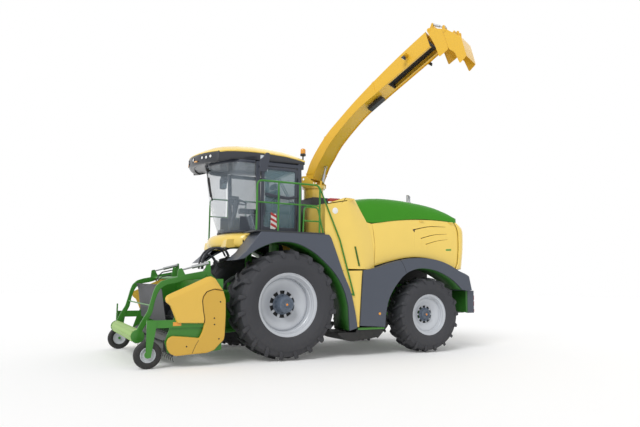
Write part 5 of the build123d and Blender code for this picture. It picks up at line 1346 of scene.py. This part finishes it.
flap_line = bent([(2.640, 6.015), (2.670, 6.060), (2.985, 5.968), (3.042, 5.691), (3.060, 5.573),
                  (2.884, 5.460), (2.800, 5.700)], 0.03, 4)
tip_line = bent([(2.960, 5.950), (2.990, 5.975), (3.305, 5.746), (3.399, 5.373), (3.274, 5.256),
                 (3.177, 5.486), (3.075, 5.560)], 0.03, 4)
flap_roof = [(2.655, 6.052), (2.985, 5.968), (2.983, 5.959), (2.655, 6.042)]
tip_roof = bent([(3.013, 5.946), (3.013, 5.958), (3.305, 5.746), (3.399, 5.373), (3.389, 5.371),
                 (3.296, 5.738)], 0.004, 2)
flap_rib = [(2.760, 6.028), (2.775, 6.078), (2.790, 6.078), (2.800, 6.016)]
tip_rib = [(3.130, 5.872), (3.165, 5.906), (3.180, 5.895), (3.165, 5.846)]
flap_ear = [(2.860, 6.010), (2.885, 6.130), (2.925, 6.125), (2.940, 5.985)]
tip_ear = [(3.110, 5.880), (3.165, 5.960), (3.200, 5.945), (3.210, 5.820)]
# name, cheek, roof, rib and ear outlines, the cheeks' inner and outer x, and the hinge
FLAPS = [("flap", flap_line, flap_roof, flap_rib, flap_ear, 0.231, 0.239, (2.670, 6.035)),
         ("tip", tip_line, tip_roof, tip_rib, tip_ear, 0.245, 0.253, (2.985, 5.950))]
for name, line, roof, rib, lug_line, inner, outer, hinge in FLAPS:
    parts = [spout_strip(f"{name}_roof", roof, -inner - 0.002, inner + 0.002, 0.002)]
    for way in (1, -1):
        parts.append(spout_strip(f"{name}_side", line, way * inner, way * outer, 0.002))
        stud = spun("stud", [(0, 0), (0, 0.034), (0.004, 0.034), (0.004, 0.016), (0.012, 0.014), (0.012, 0)],
                    (outer, hinge[0] + 0.012, hinge[1] - 0.02), 24)
        if way < 0:
            stud.data.transform(Matrix.Scale(-1, 4, (1, 0, 0)))
            stud.data.flip_normals()
        stud.data.transform(spout_turn)
        parts.append(stud)
    parts.append(spout_strip(f"{name}_rib", rib, -spout_half, spout_half, 0.003))
    for way in (1, -1):
        parts.append(spout_strip(f"{name}_ear", bent(lug_line, 0.012, 3), way * 0.050, way * 0.062, 0.003))
    mount(paint(joined(f"spout_{name}_piece", parts), spout_paint), name, "spout_yellow", f"spout_{name}")


# The header's side covers. Yellow moulded plastic over the drives, the upper one with a bevelled rim, and a
# hooked one bolted behind it. Both are in yellows darkened as painted shade, the hooked one darkest. They
# hang on the header's side plates.

seam_line = [(-1.362, 1.223), (-1.479, 1.183), (-1.535, 1.105), (-1.547, 1.034), (-1.527, 0.879),
             (-1.501, 0.751)]
upper_line = [(-2.135, 1.072), (-2.116, 1.120), (-2.049, 1.155), (-1.772, 1.281), (-1.486, 1.416),
              (-1.413, 1.431), (-1.337, 1.391), (-1.267, 1.291),
              (-1.204, 1.205)] + seam_line + [(-1.506, 0.681), (-1.934, 0.691), (-1.956, 0.733),
                                              (-2.002, 0.844), (-2.055, 0.968), (-2.119, 1.017)]
hooked_line = [(-1.204, 1.205), (-1.159, 1.060), (-1.152, 0.802), (-1.160, 0.488), (-1.173, 0.410),
               (-1.246, 0.342), (-1.331, 0.254), (-1.447, 0.214), (-1.705, 0.201), (-1.943, 0.185),
               (-2.027, 0.223), (-2.077, 0.293), (-2.095, 0.395), (-2.070, 0.462), (-2.010, 0.497),
               (-1.743, 0.472), (-1.578, 0.452), (-1.531, 0.555), (-1.503, 0.667)] + seam_line[::-1]
face_line = [(-2.100, 1.040), (-2.080, 1.062), (-2.020, 1.085), (-1.745, 1.206), (-1.465, 1.335),
             (-1.420, 1.348), (-1.375, 1.330), (-1.325, 1.272), (-1.300, 1.236), (-1.366, 1.232),
             (-1.487, 1.190), (-1.543, 1.110), (-1.555, 1.034), (-1.535, 0.880), (-1.509, 0.755),
             (-1.515, 0.690), (-1.928, 0.700), (-1.946, 0.738), (-1.992, 0.848), (-2.045, 0.968),
             (-2.090, 1.005)]
upper = skin("upper_cover", [[(x, y, z) for y, z in bent(line, 0.014, 3)]
                             for x, line in ((1.512, upper_line), (1.528, upper_line), (1.558, face_line))],
             around=True, ends=True, smooth=25)
rounded(upper, 0.005, 2, 18)
hooked = cut_sheet("hooked_cover", bent(hooked_line, 0.022, 3), 1.504, 1.556, edge=0.016)
joint = bar_along("cover_seam", [(1.557, -1.591, 0.418), (1.557, -1.639, 0.336), (1.557, -1.691, 0.214)],
                  0.002, 0.006, corner=0.4)
joint_line = [(1.558, y, z) for y, z in [(-1.215, 1.200)] + seam_line + [(-1.503, 0.690)]]
joint_two = bar_along("cover_seam_two", joint_line, 0.003, 0.007, corner=0.4)
dots = []
for y, z in ((-1.780, 0.328), (-1.345, 0.760), (-1.340, 0.660), (-1.250, 1.020), (-1.260, 0.430)):
    dots.append(spun("cover_bolt", [(0, 0), (0, 0.013), (0.004, 0.011), (0.004, 0)], (1.5555, y, z), 16))
# Both covers' yellows are darker than the body's: painted shade, the hooked one more so.
cover_shaded_yellow = finish("cover_shaded_yellow", colour(222, 180, 70), 0.36, coat=0.3, mottle=0.03)
hooked_shaded_yellow = finish("hooked_shaded_yellow", colour(206, 164, 58), 0.4, coat=0.2, mottle=0.03)
mount(paint(both_sides("upper_covers", upper), cover_shaded_yellow), "header", "yellow", "header_covers")
mount(paint(both_sides("hooked_covers", hooked), hooked_shaded_yellow), "header", "yellow")
dots = joined("cover_dots", [joint, joint_two] + dots)
mount(paint(both_sides("cover_dots", dots), shadow_steel), "header", "black")

# The gauge wheels. Narrow solid tyres on pale pressed rims, turning on stubs at the header's fork plates.

gauge_centre = (1.450, -2.357, 0.215)
tyre_line = [(-0.041, 0.112), (-0.050, 0.135), (-0.052, 0.180), (-0.036, 0.207), (-0.014, 0.214),
             (-0.010, 0.209), (0.010, 0.209), (0.014, 0.214), (0.036, 0.207), (0.052, 0.180), (0.050, 0.135),
             (0.041, 0.112)]
rim_line = [(-0.030, 0), (-0.042, 0.112), (-0.046, 0.118), (0.046, 0.118), (0.049, 0.111), (0.040, 0.104),
            (0.024, 0.094), (0.018, 0.075), (0.028, 0.066), (0.028, 0)]
hub_line = [(0.020, 0), (0.020, 0.052), (0.034, 0.052), (0.038, 0.046), (0.038, 0.026), (0.052, 0.022),
            (0.054, 0)]
for side in ("left", "right"):
    body = f"gauge_wheel_{side}"
    for part, line, material, slot, nodes in (("tyre", tyre_line, tank_black, "tyre", [body]),
                                              ("rim", rim_line, rim_paint, "silver", []),
                                              ("hub", hub_line, green_paint, "green", [])):
        piece = spun(f"gauge_{part}_{side}", line, gauge_centre, 64, smooth=35)
        if part == "hub":
            nuts = bolts("gauge_bolts", 5, 0.039, 0.007, 0.006, gauge_centre, 0.038)
            piece = joined(f"gauge_hub_{side}", [piece, nuts])
        if side == "right":
            piece.data.transform(Matrix.Scale(-1, 4, (1, 0, 0)))
            piece.data.flip_normals()
        mount(paint(piece, material), body, slot, *nodes)

# The press frame over the pickup. Two bent green arms hinged on the header's top, each with a hydraulic
# cylinder, a dark sheet hung between them that keeps the crop down, and a light roller at their front ends.

dress(deep_green, "header_frame", "feeder_house", "lift_tubes")
dress(steel, "lift_rods")
roller_green = finish("roller_green", colour(146, 182, 92), 0.45, dust=0.03, dirt=0.03)
dress(roller_green, "press_roller")
dress(dark_steel, "pickup_reel", "auger")
arm_line = bent([(-2.510, 0.450), (-2.480, 0.560), (-2.400, 0.720), (-2.320, 0.860), (-2.270, 1.050),
                 (-2.242, 1.164), (-2.204, 1.265), (-2.121, 1.345), (-2.007, 1.383), (-1.861, 1.411),
                 (-1.729, 1.460), (-1.398, 1.524), (-1.300, 1.500), (-1.262, 1.425), (-1.300, 1.360),
                 (-1.395, 1.392), (-1.712, 1.366), (-1.858, 1.318), (-2.032, 1.284), (-2.131, 1.216),
                 (-2.177, 1.130), (-2.215, 1.000), (-2.240, 0.850), (-2.310, 0.700), (-2.390, 0.560),
                 (-2.412, 0.440), (-2.457, 0.405)], 0.03, 3)
pieces = [cut_sheet("press_arm", arm_line, 1.090, 1.130, edge=0.006)]
front_ear = bent([(-1.862, 1.405), (-1.850, 1.545), (-1.790, 1.563), (-1.728, 1.450)], 0.015, 3)
rear_ear = bent([(-1.420, 1.500), (-1.350, 1.690), (-1.312, 1.690), (-1.296, 1.490)], 0.012, 3)
pieces.append(cut_sheet("ear_front", front_ear, 1.094, 1.126, edge=0.004))
pieces.append(cut_sheet("ear_rear", rear_ear, 1.094, 1.126, edge=0.004))
pieces.append(spun("roller_guard", [(0, 0), (0, 0.106), (0.010, 0.106), (0.014, 0.096), (0.014, 0)],
                   (1.131, -2.460, 0.470), 48))
pieces.append(spun("arm_pin", [(0, 0), (0, 0.044), (0.012, 0.044), (0.016, 0.036), (0.016, 0)],
                   (1.130, -1.330, 1.425), 32))
near = joined("press_arm", pieces)
cross = [tube("cross_tube", [(-1.092, -1.780, 1.396), (1.092, -1.780, 1.396)], 0.030, 20),
         tube("cross_rod", [(-1.092, -2.262, 0.949), (1.092, -2.262, 0.949)], 0.012, 12)]
stay_foot = bent([(-1.800, 1.390), (-1.775, 1.585), (-1.735, 1.585), (-1.730, 1.390)], 0.012, 3)
cross.append(cut_sheet("stay_plate", stay_foot, 0.390, 0.410, edge=0.004))
near = joined("press_arms", [near, other_side(near, "right")] + cross)
mount(paint(near, deep_green), "press_frame", "green", "press_frame")
stays = [tube("stay_high", [(0.40, -2.060, 1.340), (0.40, -2.014, 1.440), (0.40, -1.954, 1.496),
                            (0.40, -1.753, 1.541)], 0.010),
         tube("stay_low", [(0.40, -2.030, 1.345), (0.40, -1.966, 1.412), (0.40, -1.734, 1.462)], 0.008)]
mount(paint(joined("press_stays", stays), black_plastic), "press_frame", "black")
rams = [tube("ram_barrel", [(1.110, -1.340, 1.655), (1.110, -1.620, 1.580)], 0.028, 20),
        tube("ram_rod", [(1.110, -1.600, 1.585), (1.110, -1.800, 1.530)], 0.014, 16)]
rams = joined("press_rams", rams)
mount(paint(both_sides("press_rams", rams), steel), "press_frame", "silver")
sheet_line = [(-2.150, 1.290), (-2.105, 1.215), (-2.079, 1.075), (-2.059, 0.930), (-2.011, 0.654)]
sheet_line = arc_points(sheet_line, 4)
apron = skin("crop_sheet", [[(x, y, z) for y, z in sheet_line + [(y + 0.006, z) for y, z in sheet_line[::-1]]]
                            for x in (-1.084, 1.084)], around=True, ends=True)
apron_grey = finish("apron_grey", colour(62, 62, 68), 0.55, mottle=0.06, dust=0.02)
mount(paint(apron, apron_grey), "press_frame", "black")

# The header's hoses and marks. Rubber pressure hoses clipped from the header's top back to the feeder, an
# orange reflector on the side beam, and a green bar that shows the far gauge wheel's height.

hoses = []
for x, shift in ((0.850, 0.0), (0.800, 0.03), (0.740, -0.02)):
    line = [(x, -1.385 + shift, 1.560), (x, -1.370 + shift, 1.700), (x, -1.296 + shift, 1.850),
            (x, -1.139 + shift, 1.935), (x, -0.985 + shift, 1.900), (x - 0.05, -0.900 + shift, 1.800)]
    hoses.append(tube("hose", arc_points(line, 5), 0.017, 12))
for x in (0.700, 0.640):
    line = [(x, -1.100, 1.470), (x, -1.072, 1.600), (x, -1.119, 1.745), (x, -1.225, 1.810),
            (x, -1.310, 1.740), (x, -1.330, 1.560)]
    hoses.append(tube("hose", arc_points(line, 5), 0.015, 12))
mount(paint(joined("header_hoses", hoses), rubber), "header", "black")
reflector = box("beam_reflector", (1.510, 1.515), (-1.995, -1.865), (0.648, 0.708), 0.002)
mount(paint(reflector, lamp_amber), "header", "trim")
scale = box("height_bar", (-1.462, -1.446), (-2.432, -2.404), (0.560, 0.885), 0.003)
mount(paint(scale, deep_green), "header", "green")
